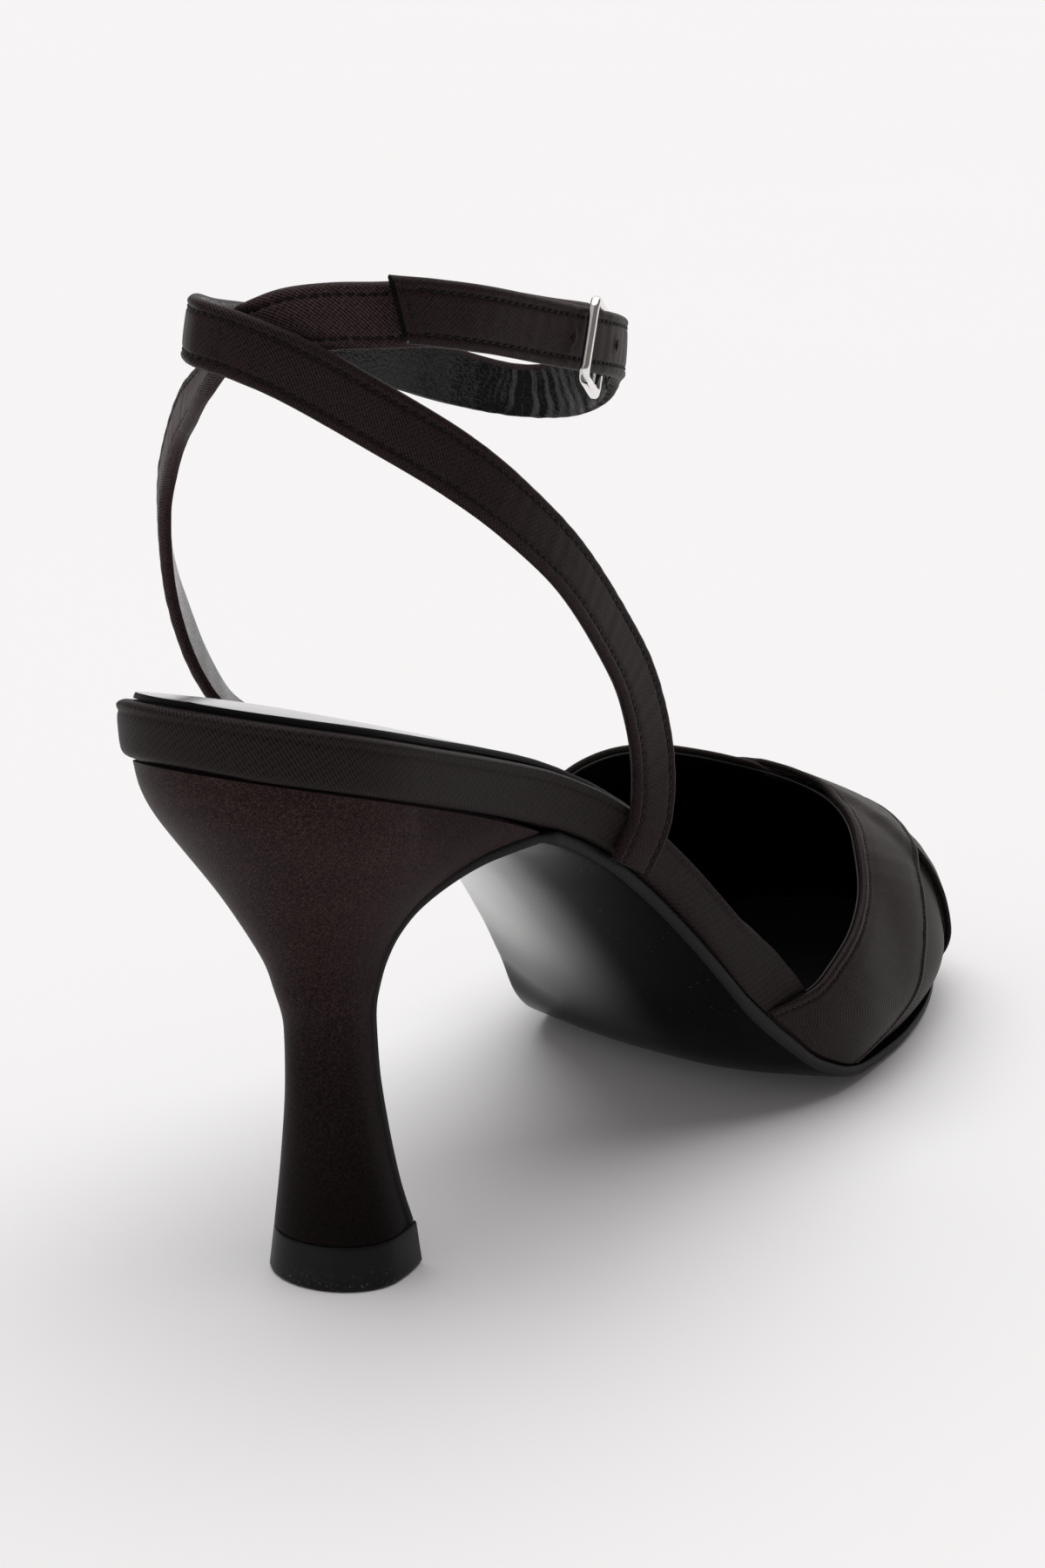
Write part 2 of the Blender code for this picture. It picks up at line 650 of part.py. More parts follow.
def upper(finish):
    """Vamp as one hollow wall, open at the throat and under the foot."""
    across = eased(33, 0.0, 1.0)
    along = [1.0 - (1.0 - t) ** 1.25 for t in even(17)]

    def grid(inset):
        toe = LENGTH - TOE_INSET - inset - 0.15
        rows = []
        for u in along:
            places = [THROAT("rim", v) * (1.0 - u) + toe * u for v in across]
            rows.append([vamp_point(s, v, inset) for s, v in zip(places, across)])
        return rows

    outer, inner = grid(0.0), grid(WALL)
    rows, columns = len(outer), len(outer[0])
    points = [point for side in (outer, inner) for row in side for point in row]
    shift = rows * columns
    faces = []
    for i in range(rows - 1):
        for j in range(columns - 1):
            a = i * columns + j
            quad = (a, a + columns, a + columns + 1, a + 1)
            faces.append(quad)
            faces.append(tuple(shift + k for k in reversed(quad)))
    for j in range(columns - 1):
        faces.append((j, j + 1, shift + j + 1, shift + j))
    for i in range(rows - 1):
        a = i * columns
        b = a + columns - 1
        faces.append((a, shift + a, shift + a + columns, a + columns))
        faces.append((b, b + columns, shift + b + columns, shift + b))
    tip = (rows - 1) * columns
    for j in range(columns // 2):
        k = columns - 1 - j
        lid = (tip + j, tip + k, tip + k - 1, tip + j + 1)
        lid = lid if j + 1 < k - 1 else lid[:3]
        faces.append(lid)
        faces.append(tuple(shift + spot for spot in reversed(lid)))
    faces.append((tip, shift + tip, shift + tip + columns - 1, tip + columns - 1))
    return piece("upper", points, outward(points, faces), finish)


def band_lift(s, v):
    """Extra height of the right band where it passes over the left one."""
    outside = max(BAND_LEFT("rear", v) - s, s - BAND_LEFT("front", v))
    return BAND_STEP * (1.0 - smooth(BAND_FLAT, BAND_FLAT + BAND_RAMP, outside))


def vamp_band(name, edges, lifted, finish):
    """Wide band laid over the vamp, cut from the vamp's own surface."""
    inner = []
    outer = []
    for v in eased(33, 0.0, 1.0):
        rear, front = edges("rear", v), edges("front", v)
        low = []
        high = []
        for t in even(7):
            s = rear + (front - rear) * t
            lift = band_lift(s, v) if lifted else 0.0
            low.append(vamp_point(s, v, -BAND_GAP - lift))
            high.append(vamp_point(s, v, -BAND_GAP - lift - BAND_THICK))
        inner.append(low)
        outer.append(high)
    return shell(name, outer, inner, finish)


def strap_frame(path, row):
    """Middle, run, width and outward directions of a strap at one row."""
    spot = np.array([path(axis, row) for axis in "xyz"])
    ahead = np.array([path(axis, row + 0.05) for axis in "xyz"])
    behind = np.array([path(axis, row - 0.05) for axis in "xyz"])
    run = (ahead - behind) / np.linalg.norm(ahead - behind)
    turn = math.radians(path("facing", row))
    lean = math.radians(path("lean", row))
    look = np.array([math.cos(turn) * math.cos(lean), math.sin(turn) * math.cos(lean), math.sin(lean)])
    look = look - run * np.dot(look, run)
    look /= np.linalg.norm(look)
    return spot, run, np.cross(look, run), look


def strap_rows(path):
    """Rows spaced along a strap at an even pitch."""
    last = path.key[-1]
    fine = even(int(last) * 40 + 1, 0.0, last)
    spots = np.array([[path(axis, row) for axis in "xyz"] for row in fine])
    run = np.concatenate(([0.0], np.cumsum(np.linalg.norm(np.diff(spots, axis=0), axis=1))))
    count = int(round(run[-1] / STRAP_PITCH)) + 1
    return [float(np.interp(at, run, fine)) for at in even(count, 0.0, run[-1])]


def ankle_strap(name, path, slant, finish):
    """Flat strap with softened edges, its free end cut on a slant."""
    half, thick, soft = STRAP_WIDTH / 2.0, STRAP_THICK / 2.0, STRAP_EDGE_ROUND
    profile = ((-half, -thick + soft), (-half, thick - soft), (-half + soft, thick), (half - soft, thick))
    profile += ((half, thick - soft), (half, -thick + soft), (half - soft, -thick), (-half + soft, -thick))
    rows = strap_rows(path)
    rings = []
    for row in rows:
        spot, run, wide, look = strap_frame(path, row)
        lean = slant / half if row == rows[-1] else 0.0
        rings.append([tuple(spot + wide * w + look * t + run * (lean * w)) for w, t in profile])
    return loft(name, rings, finish)


def buckle(finish):
    """Rectangular wire frame: one bar over the strap, the other under it."""
    spot, run, wide, look = strap_frame(STRAP_RIGHT, BUCKLE_ROW)
    tilt = math.atan2(BUCKLE_LIFT, BUCKLE_SPAN / 2.0)
    level_run = run * math.cos(tilt) + look * math.sin(tilt)
    out = look * math.cos(tilt) - run * math.sin(tilt)
    skew = math.radians(BUCKLE_SKEW)
    spot = spot + wide * BUCKLE_DROP
    along = level_run * math.cos(skew) - wide * math.sin(skew)
    wide = wide * math.cos(skew) + level_run * math.sin(skew)
    long_half = BUCKLE_SPAN / 2.0 / math.cos(tilt)

    def rim(grow, level):
        corner = BUCKLE_CORNER + grow
        reach_run = long_half + grow
        reach_wide = BUCKLE_HEIGHT / 2.0 - BUCKLE_WIRE / 2.0 + grow
        loop = []
        for quarter in range(4):
            sign_run = 1.0 if quarter in (0, 3) else -1.0
            sign_wide = 1.0 if quarter in (0, 1) else -1.0
            for t in even(4):
                angle = math.pi / 2.0 * (quarter + t)
                a = sign_run * (reach_run - corner) + corner * math.cos(angle)
                b = sign_wide * (reach_wide - corner) + corner * math.sin(angle)
                loop.append(tuple(spot + along * a + wide * b + out * level))
        return loop

    wire, deep = BUCKLE_WIRE / 2.0, BUCKLE_DEPTH / 2.0
    soft = 0.4
    stations = ((wire, -deep + soft), (wire, deep - soft), (wire - soft, deep), (-wire + soft, deep))
    stations += ((-wire, deep - soft), (-wire, -deep + soft), (-wire + soft, -deep), (wire - soft, -deep))
    loops = [rim(grow, level) for grow, level in stations]
    count = len(loops[0])
    points = [point for loop in loops for point in loop]
    faces = []
    for i in range(len(loops)):
        k = (i + 1) % len(loops)
        for j in range(count):
            m = (j + 1) % count
            faces.append((i * count + j, i * count + m, k * count + m, k * count + j))
    return piece("buckle_frame", points, outward(points, faces), finish)


def build():
    """Put every piece of the shoe in the scene."""
    for existing in list(bpy.data.objects):
        bpy.data.objects.remove(existing)
    satin = (0.020, 0.016, 0.013)
    outsole(material("outsole_gloss", (0.012, 0.012, 0.013), 0.18))
    heel(material("heel_satin", satin, 0.5))
    top_piece(material("top_piece_plastic", (0.015, 0.015, 0.016), 0.35))
    footbed(material("rand_satin", satin, 0.5))
    insole_sock(material("sock_lining", (0.014, 0.013, 0.013), 0.3))
    upper(material("upper_satin", satin, 0.5))
    vamp_band("vamp_band_left", BAND_LEFT, False, material("band_left_satin", satin, 0.5))
    vamp_band("vamp_band_right", BAND_RIGHT, True, material("band_right_satin", satin, 0.5))
    ankle_strap("ankle_strap_right", STRAP_RIGHT, TIP_SLANT, material("strap_right_satin", satin, 0.5))
    ankle_strap("ankle_strap_left", STRAP_LEFT, 0.0, material("strap_left_satin", satin, 0.5))
    buckle(material("buckle_chrome", (0.72, 0.72, 0.74), 0.12, 1.0))


build()
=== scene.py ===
"""Looks of an ankle-strap pump with a flared heel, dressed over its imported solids.

Shapes are drawn in shoe millimetres: x to the wearer's right, y from the back of the
seat to the toe, z up from the floor.  Skin.build sets them down in the frame's metres.
"""
from __future__ import annotations

import logging
import math
from dataclasses import dataclass
from enum import Enum
from typing import Any, Optional, Sequence, Union

import bmesh
import bpy
import numpy as np
from mathutils import Matrix

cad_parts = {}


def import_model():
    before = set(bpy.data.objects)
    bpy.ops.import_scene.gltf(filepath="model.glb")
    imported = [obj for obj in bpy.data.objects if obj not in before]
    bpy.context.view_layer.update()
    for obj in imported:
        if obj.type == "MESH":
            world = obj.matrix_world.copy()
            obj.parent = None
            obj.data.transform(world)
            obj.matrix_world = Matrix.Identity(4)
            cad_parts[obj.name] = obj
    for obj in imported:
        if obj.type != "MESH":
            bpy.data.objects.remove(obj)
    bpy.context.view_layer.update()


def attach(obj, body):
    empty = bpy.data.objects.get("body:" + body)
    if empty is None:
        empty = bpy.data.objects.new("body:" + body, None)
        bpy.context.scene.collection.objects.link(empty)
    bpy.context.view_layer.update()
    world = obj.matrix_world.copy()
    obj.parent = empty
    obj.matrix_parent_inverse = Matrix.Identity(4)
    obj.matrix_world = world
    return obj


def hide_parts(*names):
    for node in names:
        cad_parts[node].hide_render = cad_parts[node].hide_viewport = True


Array = np.ndarray
Values = Union[float, Array]

MM = 0.001
CENTRE = (-1.4, 115.5, 0.0)
LAY = "lay"
LOG = logging.getLogger("pump")


class Side(Enum):
    """Side of the shoe, as the sign of x."""

    RIGHT = 1.0
    LEFT = -1.0

    @property
    def label(self) -> str:
        """Name of the side in small letters."""
        return self.name.lower()


class Table:
    """Short table of named columns, read between its rows on a smooth curve."""

    def __init__(self, columns: str, rows: Sequence[Sequence[float]], rounded: bool = False) -> None:
        """Keep the rows and work out a slope at each.

        Args:
            columns: Names of the columns, parted by spaces, the key first.
            rows: Values, one row for each key.
            rounded: Take plain mean slopes instead of ones that never overshoot.
        """
        data = np.array(rows, dtype=float)
        self.key = data[:, 0]
        self.columns: dict[str, tuple[Array, Array]] = {}
        for index, name in enumerate(columns.split()[1:], start=1):
            values = data[:, index]
            self.columns[name] = (values, self._slopes(self.key, values, rounded))

    @staticmethod
    def _slopes(key: Array, values: Array, rounded: bool) -> Array:
        """Slopes of one column at its rows.

        Args:
            key: Keys of the rows.
            values: Values of the column.
            rounded: As for the table.

        Returns:
            One slope for each row.
        """
        step = np.diff(key)
        rate = np.diff(values) / step
        before, after = rate[:-1], rate[1:]
        blend = (step[1:] * before + step[:-1] * after) / (step[1:] + step[:-1])
        if not rounded:
            limit = 3.0 * np.minimum(np.abs(before), np.abs(after))
            blend = np.where(before * after <= 0.0, 0.0, np.clip(blend, -limit, limit))
        return np.concatenate((rate[:1], blend, rate[-1:]))

    def __call__(self, name: str, at: Values) -> Array:
        """Values of a column between its rows.

        Args:
            name: Column to read.
            at: Places along the key.

        Returns:
            The values there.
        """
        values, slopes = self.columns[name]
        place = np.clip(np.asarray(at, dtype=float), self.key[0], self.key[-1])
        i = np.clip(np.searchsorted(self.key, place, side="right") - 1, 0, len(self.key) - 2)
        span = self.key[i + 1] - self.key[i]
        t = (place - self.key[i]) / span
        rise = 2.0 * t ** 3 - 3.0 * t ** 2
        start = (t ** 3 - 2.0 * t ** 2 + t) * span * slopes[i]
        end = (t ** 3 - t ** 2) * span * slopes[i + 1]
        return (rise + 1.0) * values[i] - rise * values[i + 1] + start + end


def smooth(low: Values, high: Values, at: Values) -> Array:
    """Soft step from nought below low to one above high."""
    t = np.clip((np.asarray(at, dtype=float) - low) / (high - low), 0.0, 1.0)
    return t * t * (3.0 - 2.0 * t)


def closing(distance: Values, reach: Values, fullness: Values) -> Array:
    """Share of the width left at a distance into a rounded end."""
    share = np.clip(np.asarray(distance, dtype=float) / reach, 0.0, 1.0)
    return np.maximum(1.0 - share ** fullness, 0.0) ** (1.0 / np.asarray(fullness, dtype=float))


def rounded(away: Array, radius: float) -> Array:
    """Share of the thickness at a distance in from a rounded edge."""
    return np.sqrt(np.maximum(1.0 - (1.0 - np.minimum(away / radius, 1.0)) ** 2, 0.0))


def crowded(count: int) -> Array:
    """Shares from nought to one, crowded at both ends."""
    return 0.5 * (1.0 - np.cos(math.pi * np.linspace(0.0, 1.0, count)))


def unit(vectors: Array) -> Array:
    """Vectors of length one."""
    return vectors / np.maximum(np.linalg.norm(vectors, axis=-1, keepdims=True), 1e-9)


def bump(at: Values, middle: Values, width: float) -> Array:
    """Soft hill of height one about a middle."""
    return np.exp(-((np.asarray(at, dtype=float) - middle) / width) ** 2)


def ripple(at: Array, pitch: float, seed: float) -> Array:
    """Uneven waves of about one unit, from a few sines of unlike length.

    Args:
        at: Places along the surface.
        pitch: Mean length of a wave.
        seed: Shift that makes one set of waves unlike another.

    Returns:
        Heights between about minus one and one.
    """
    total = np.zeros_like(np.asarray(at, dtype=float))
    for k, share in enumerate((0.45, 0.3, 0.25)):
        total += share * np.sin(2.0 * math.pi * at / (pitch * (1.0 + 0.43 * k)) + seed * (1.7 + k) + k)
    return total


def run_lengths(points: Array) -> Array:
    """Length along a line of points, from its first."""
    steps = np.linalg.norm(np.diff(points, axis=0), axis=1)
    return np.concatenate(([0.0], np.cumsum(steps)))


def sheet_lay(rows: Array, columns: Array) -> Array:
    """Weave coordinates of a sheet from those of its rows and of its columns."""
    return np.stack(np.broadcast_arrays(rows, columns), axis=-1)


def closed_lengths(ring: Array) -> Array:
    """Length along a closed ring of points, from its first and back to it."""
    return run_lengths(np.concatenate((ring, ring[:1])))


def resample(points: Array, count: int) -> Array:
    """Smooth curve of rows through coarse rows of points.

    Args:
        points: Rows of points, of shape (rows, columns, 3).
        count: Pieces that each gap between rows is cut into.

    Returns:
        The finer rows.
    """
    padded = np.concatenate((2.0 * points[:1] - points[1:2], points, 2.0 * points[-1:] - points[-2:-1]))
    rows = []
    for i in range(1, len(padded) - 2):
        a, b, c, d = padded[i - 1:i + 3]
        for t in np.linspace(0.0, 1.0, count, endpoint=False):
            first = (c - a) * t + (2.0 * a - 5.0 * b + 4.0 * c - d) * t ** 2
            rows.append(b + 0.5 * (first + (3.0 * b - a - 3.0 * c + d) * t ** 3))
    rows.append(points[-1])
    return np.array(rows)


class Skin:
    """Surface of one piece, gathered from grids of points in shoe millimetres."""

    def __init__(self) -> None:
        """Start with no points."""
        self.points: list[Array] = []
        self.faces: list[list[int]] = []
        self.corners: list[Array] = []
        self.finishes: list[int] = []
        self.count = 0

    def grid(self, points: Array, lay: Array, finish: Union[int, Array] = 0, ring: bool = False) -> None:
        """Add a sheet of quads.

        Args:
            points: Points of shape (rows, columns, 3).
            lay: Weave coordinates in millimetres, with one more column than points for a ring.
            finish: Index of the finish, for the whole sheet or for each quad.
            ring: Join the last column to the first.
        """
        rows, columns = points.shape[:2]
        index = self.count + np.arange(rows * columns).reshape(rows, columns)
        self.points.append(points.reshape(-1, 3))
        self.count += rows * columns
        if ring:
            index = np.concatenate((index, index[:, :1]), axis=1)
        quads = np.stack((index[:-1, :-1], index[1:, :-1], index[1:, 1:], index[:-1, 1:]), axis=-1)
        corners = np.stack((lay[:-1, :-1], lay[1:, :-1], lay[1:, 1:], lay[:-1, 1:]), axis=2)
        self.faces += quads.reshape(-1, 4).tolist()
        self.corners.append(corners.reshape(-1, 2))
        self.finishes += np.broadcast_to(finish, quads.shape[:2]).reshape(-1).tolist()

    def cap(self, ring: Array, finish: int = 0) -> None:
        """Close a ring of points with a fan about its middle.

        Args:
            ring: Points of shape (columns, 3).
            finish: Index of the finish.
        """
        count = len(ring)
        self.points += [ring, ring.mean(axis=0)[None]]
        for j in range(count):
            self.faces.append([self.count + j, self.count + (j + 1) % count, self.count + count])
        flat = ring[:, :2]
        following = np.roll(flat, -1, axis=0)
        middle = np.broadcast_to(flat.mean(axis=0), flat.shape)
        self.corners.append(np.stack((flat, following, middle), axis=1).reshape(-1, 2))
        self.finishes += [finish] * count
        self.count += count + 1

    def loft(self, rings: Array, lay: Array, finish: Union[int, Array] = 0, ends: int = 0) -> None:
        """Add a closed body through rings, capped at both ends.

        Args:
            rings: Points of shape (rows, columns, 3).
            lay: Weave coordinates with one more column than the rings.
            finish: Index of the finish of the sides.
            ends: Index of the finish of the caps.
        """
        self.grid(rings, lay, finish, ring=True)
        self.cap(rings[0], ends)
        self.cap(rings[-1], ends)

    def build(self, name: str, finishes: Sequence[Finish], crease: float = 50.0) -> bpy.types.Object:
        """Make the object.

        Args:
            name: Name of the piece.
            finishes: Finishes that the sheets' indices point to.
            crease: Angle in degrees above which an edge stays sharp.

        Returns:
            The new object, linked into the scene.
        """
        mesh = bpy.data.meshes.new(name)
        placed = (np.concatenate(self.points) - CENTRE) * MM
        mesh.from_pydata(placed.tolist(), [], self.faces)
        layer = mesh.uv_layers.new(name=LAY)
        layer.data.foreach_set("uv", np.concatenate(self.corners).astype(np.float32).ravel())
        mesh.polygons.foreach_set("material_index", np.array(self.finishes, dtype=np.int32))
        work = bmesh.new()
        work.from_mesh(mesh)
        bmesh.ops.remove_doubles(work, verts=work.verts, dist=2e-6)
        bmesh.ops.dissolve_degenerate(work, edges=work.edges, dist=1e-7)
        bmesh.ops.recalc_face_normals(work, faces=work.faces)
        work.to_mesh(mesh)
        work.free()
        mesh.polygons.foreach_set("use_smooth", np.ones(len(mesh.polygons), dtype=bool))
        mesh.set_sharp_from_angle(angle=math.radians(crease))
        for finish in finishes:
            mesh.materials.append(finish.material())
        made = bpy.data.objects.new(name, mesh)
        bpy.context.scene.collection.objects.link(made)
        return made


class Wire:
    """A shader socket that sums can be written with."""

    def __init__(self, tree: "Tree", socket: bpy.types.NodeSocket) -> None:
        """Wrap one output socket of a tree."""
        self.tree = tree
        self.socket = socket

    def _sum(self, operation: str, left: Any, right: Any = None) -> "Wire":
        """One Math node on two values."""
        sockets = {0: left} if right is None else {0: left, 1: right}
        return self.tree.add("ShaderNodeMath", {"operation": operation}, sockets)

    def __add__(self, other: Any) -> "Wire":
        """This plus another."""
        return self._sum("ADD", self, other)

    def __radd__(self, other: Any) -> "Wire":
        """Another plus this."""
        return self._sum("ADD", other, self)

    def __sub__(self, other: Any) -> "Wire":
        """This less another."""
        return self._sum("SUBTRACT", self, other)

    def __rsub__(self, other: Any) -> "Wire":
        """Another less this."""
        return self._sum("SUBTRACT", other, self)

    def __mul__(self, other: Any) -> "Wire":
        """This times another."""
        return self._sum("MULTIPLY", self, other)

    def __rmul__(self, other: Any) -> "Wire":
        """Another times this."""
        return self._sum("MULTIPLY", other, self)

    def cosine(self) -> "Wire":
        """Cosine of this, in radians."""
        return self._sum("COSINE", self)

    def above(self, low: float, high: float) -> "Wire":
        """Soft step of this from nought at low to one at high."""
        settings = {"interpolation_type": "SMOOTHSTEP"}
        return self.tree.add("ShaderNodeMapRange", settings, {"Value": self, 1: low, 2: high})


class Tree:
    """Node tree of one finish."""

    def __init__(self, name: str) -> None:
        """Start a material with its own shader.

        Args:
            name: Name of the material.
        """
        self.material = bpy.data.materials.new(name)
        self.material.use_nodes = True
        self.nodes = self.material.node_tree.nodes
        self.links = self.material.node_tree.links
        self.shader = self.nodes["Principled BSDF"]

    def add(self, kind: str, settings: dict[str, Any], sockets: dict[Any, Any], out: Any = 0) -> Wire:
        """Add one node.

        Args:
            kind: Blender's type of the node.
            settings: Properties that are set first.
            sockets: Values or wires of the input sockets, by name or index.
            out: Output socket to hand back, by name or index.

        Returns:
            The output as a wire.
        """
        node = self.nodes.new(kind)
        for key, value in settings.items():
            setattr(node, key, value)
        for key, value in sockets.items():
            self._feed(node.inputs[key], value)
        return Wire(self, node.outputs[out])

    def _feed(self, socket: bpy.types.NodeSocket, value: Any) -> None:
        """Set a socket, or link a wire to it.

        Args:
            socket: Input socket.
            value: Number, colour or wire.
        """
        if isinstance(value, Wire):
            self.links.new(value.socket, socket)
        elif isinstance(value, tuple) and len(value) == 3 and socket.type == "RGBA":
            socket.default_value = (*value, 1.0)
        else:
            socket.default_value = value

    def dress(self, **values: Any) -> bpy.types.Material:
        """Set the shader's sockets, named with _ for a space.

        Args:
            values: Values or wires of the sockets.

        Returns:
            The finished material.
        """
        for key, value in values.items():
            self._feed(self.shader.inputs[key.replace("_", " ")], value)
        return self.material

    def lay(self) -> tuple[Wire, Wire]:
        """Weave coordinates of the surface, in millimetres."""
        at = self.add("ShaderNodeUVMap", {"uv_map": LAY}, {})
        return tuple(self.add("ShaderNodeSeparateXYZ", {}, {0: at}, out) for out in ("X", "Y"))

    def place(self) -> Wire:
        """Place in the object's own space, in metres."""
        return self.add("ShaderNodeTexCoord", {}, {}, "Object")

    def axis(self, name: str) -> Wire:
        """One coordinate of the place, in metres."""
        return self.add("ShaderNodeSeparateXYZ", {}, {0: self.place()}, name)

    def noise(self, scale: float, detail: float, rough: float) -> Wire:
        """Cloudy noise about one half.

        Args:
            scale: Clouds in each metre.
            detail: Number of finer layers.
            rough: Weight of the finer layers.

        Returns:
            Values from nought to one.
        """
        sockets = {"Vector": self.place(), "Scale": scale, "Detail": detail, "Roughness": rough}
        return self.add("ShaderNodeTexNoise", {}, sockets)

    def blend(self, share: Any, low: Any, high: Any) -> Wire:
        """Colour between two others."""
        settings = {"data_type": "RGBA", "clamp_factor": True}
        return self.add("ShaderNodeMix", settings, {0: share, 6: low, 7: high}, 2)

    def relief(self, height: Wire, depth: float) -> Wire:
        """Bump from a height, with the depth in millimetres of one unit."""
        return self.add("ShaderNodeBump", {}, {"Distance": depth * MM, "Height": height})


@dataclass(frozen=True)
class Finish:
    """Named finish; each kind paints its own node tree."""

    name: str

    def material(self) -> bpy.types.Material:
        """The finish as a new material."""
        return self.paint(Tree(self.name))


@dataclass(frozen=True)
class Satin(Finish):
    """Woven black satin with a fine twill line."""

    deep: tuple[float, float, float] = (0.0035, 0.0021, 0.0021)
    pale: tuple[float, float, float] = (0.0330, 0.0200, 0.0200)
    pitch: float = 0.42
    slant: float = 0.9
    depth: float = 0.03
    rough: float = 0.44
    gloss: float = 0.05
    weave_glint_contrast: float = 0.9
    sheen: float = 0.05
    painted_foot_shade: float = 0.0

    def paint(self, tree: Tree) -> bpy.types.Material:
        """Paint the finish.

        Args:
            tree: Its empty node tree.

        Returns:
            The material.
        """
        u, v = tree.lay()
        wander = tree.noise(420.0, 2.0, 0.5) * 1.6
        turn = 2.0 * math.pi / self.pitch
        across, along = math.cos(self.slant), math.sin(self.slant)
        wale = ((u * across + v * along) * turn + wander).cosine()
        rib = ((v * across - u * along) * (turn / 1.6) + wale * 0.9 + wander).cosine()
        weave = wale * 0.36 + rib * 0.12 + 0.5
        cloud = tree.noise(38.0, 4.0, 0.6)
        fleck = tree.noise(2600.0, 2.0, 0.7)
        # The blend from deep to pale is partly the satin's own weave, tone and flecks and partly painted
        # glints: its pale twill threads and bright flecks stand in for light glinting off the thread floats.
        grain = (fleck - 0.5) * 1.6 + fleck.above(0.62, 0.80) * 0.3
        lit = weave * self.weave_glint_contrast + cloud * 0.45 + grain - 0.20
        colour = tree.blend(lit, self.deep, self.pale)
        # Painted shade: the colour is blended towards near black low down on the piece, standing in for the
        # shade near the floor.
        if self.painted_foot_shade:
            height = tree.axis("Z")
            low = (1.0 - height.above(0.004, 0.070)) * self.painted_foot_shade
            colour = tree.blend(low, colour, (0.0008, 0.0006, 0.0007))
        rough = cloud * 0.12 + weave * -0.10 + self.rough
        normal = tree.relief(weave + fleck * 0.35, self.depth)
        return tree.dress(Base_Color=colour, Roughness=rough, Normal=normal, Sheen_Weight=self.sheen,
                          Sheen_Roughness=0.20, Sheen_Tint=(0.90, 0.85, 0.86), Specular_IOR_Level=self.gloss)


@dataclass(frozen=True)
class SoleGloss(Finish):
    """Polished black sole with a few specks of dust."""

    def paint(self, tree: Tree) -> bpy.types.Material:
        """Paint the finish.

        Args:
            tree: Its empty node tree.

        Returns:
            The material.
        """
        cloud = tree.noise(26.0, 4.0, 0.55)
        dust = tree.noise(1100.0, 1.0, 0.5).above(0.75, 0.78)
        grain = tree.noise(2400.0, 3.0, 0.6)
        colour = tree.blend(cloud * 0.06 + dust * 0.9, (0.0012, 0.0012, 0.0013), (0.050, 0.050, 0.050))
        rough = cloud * 0.08 + dust * 0.2 + 0.16
        normal = tree.relief(grain, 0.006)
        across, along = tree.axis("X"), tree.axis("Y")
        waist = along.above(-0.068, -0.056) * (1.0 - along.above(-0.004, 0.026))
        burnish = waist * (1.0 - across.above(-0.006, 0.012))
        return tree.dress(Base_Color=colour, Roughness=rough, Normal=normal, Specular_IOR_Level=0.02,
                          Coat_Weight=burnish, Coat_Roughness=0.12, Coat_IOR=3.0)


@dataclass(frozen=True)
class TopPlastic(Finish):
    """Hard black plastic of the top piece, scuffed where it meets the ground."""

    def paint(self, tree: Tree) -> bpy.types.Material:
        """Paint the finish.

        Args:
            tree: Its empty node tree.

        Returns:
            The material.
        """
        height = tree.axis("Z")
        low = 1.0 - height.above(0.0004, 0.0045)
        scuff = tree.noise(1500.0, 3.0, 0.65).above(0.56, 0.70) * low
        cloud = tree.noise(180.0, 3.0, 0.6)
        speck = tree.noise(2300.0, 2.0, 0.6).above(0.66, 0.72) * low
        worn = speck * 0.9 + scuff * 0.16 + cloud * 0.05
        colour = tree.blend(worn, (0.0042, 0.0039, 0.0042), (0.16, 0.15, 0.14))
        rough = cloud * 0.16 + scuff * 0.2 + 0.30
        normal = tree.relief(tree.noise(1700.0, 3.0, 0.6) + scuff * 0.8, 0.02)
        return tree.dress(Base_Color=colour, Roughness=rough, Normal=normal, Specular_IOR_Level=0.13)


@dataclass(frozen=True)
class Leather(Finish):
    """Smooth black lining leather with a fine grain."""

    colour: tuple[float, float, float] = (0.0022, 0.0021, 0.0022)
    pale: tuple[float, float, float] = (0.0075, 0.0072, 0.0072)
    grain: float = 900.0
    depth: float = 0.035
    rough: float = 0.34
    gloss: float = 0.5
    polish: float = 0.0
    cover: Optional[float] = None
    cover_run: float = 0.028

    def paint(self, tree: Tree) -> bpy.types.Material:
        """Paint the finish.

        Args:
            tree: Its empty node tree.

        Returns:
            The material.
        """
        sockets = {"Vector": tree.place(), "Scale": self.grain}
        cells = tree.add("ShaderNodeTexVoronoi", {"feature": "DISTANCE_TO_EDGE"}, sockets)
        pore = cells.above(0.0, 0.22)
        cloud = tree.noise(55.0, 4.0, 0.6)
        fine = tree.noise(self.grain * 2.6, 2.0, 0.6)
        colour = tree.blend(cloud * 0.5 + fine * 0.3, self.colour, self.pale)
        rough = cloud * 0.12 + fine * 0.06 + self.rough - 0.08
        polish: Any = self.polish
        # Painted shade: where the piece runs in under the vamp, past the cover place, its colour is blended
        # to near black; there it also grows rough and loses its polish.
        if self.cover is not None:
            along = tree.axis("Y")
            covered = along.above(self.cover - self.cover_run, self.cover)
            colour = tree.blend(covered, colour, (0.0008, 0.0008, 0.0008))
            rough = rough + covered * 0.5
            polish = (1.0 - covered) * self.polish
        normal = tree.relief(pore * 0.6 + fine * 0.5, self.depth)
        return tree.dress(Base_Color=colour, Roughness=rough, Normal=normal, Specular_IOR_Level=self.gloss,
                          Coat_Weight=polish, Coat_Roughness=0.20, Coat_IOR=1.9)


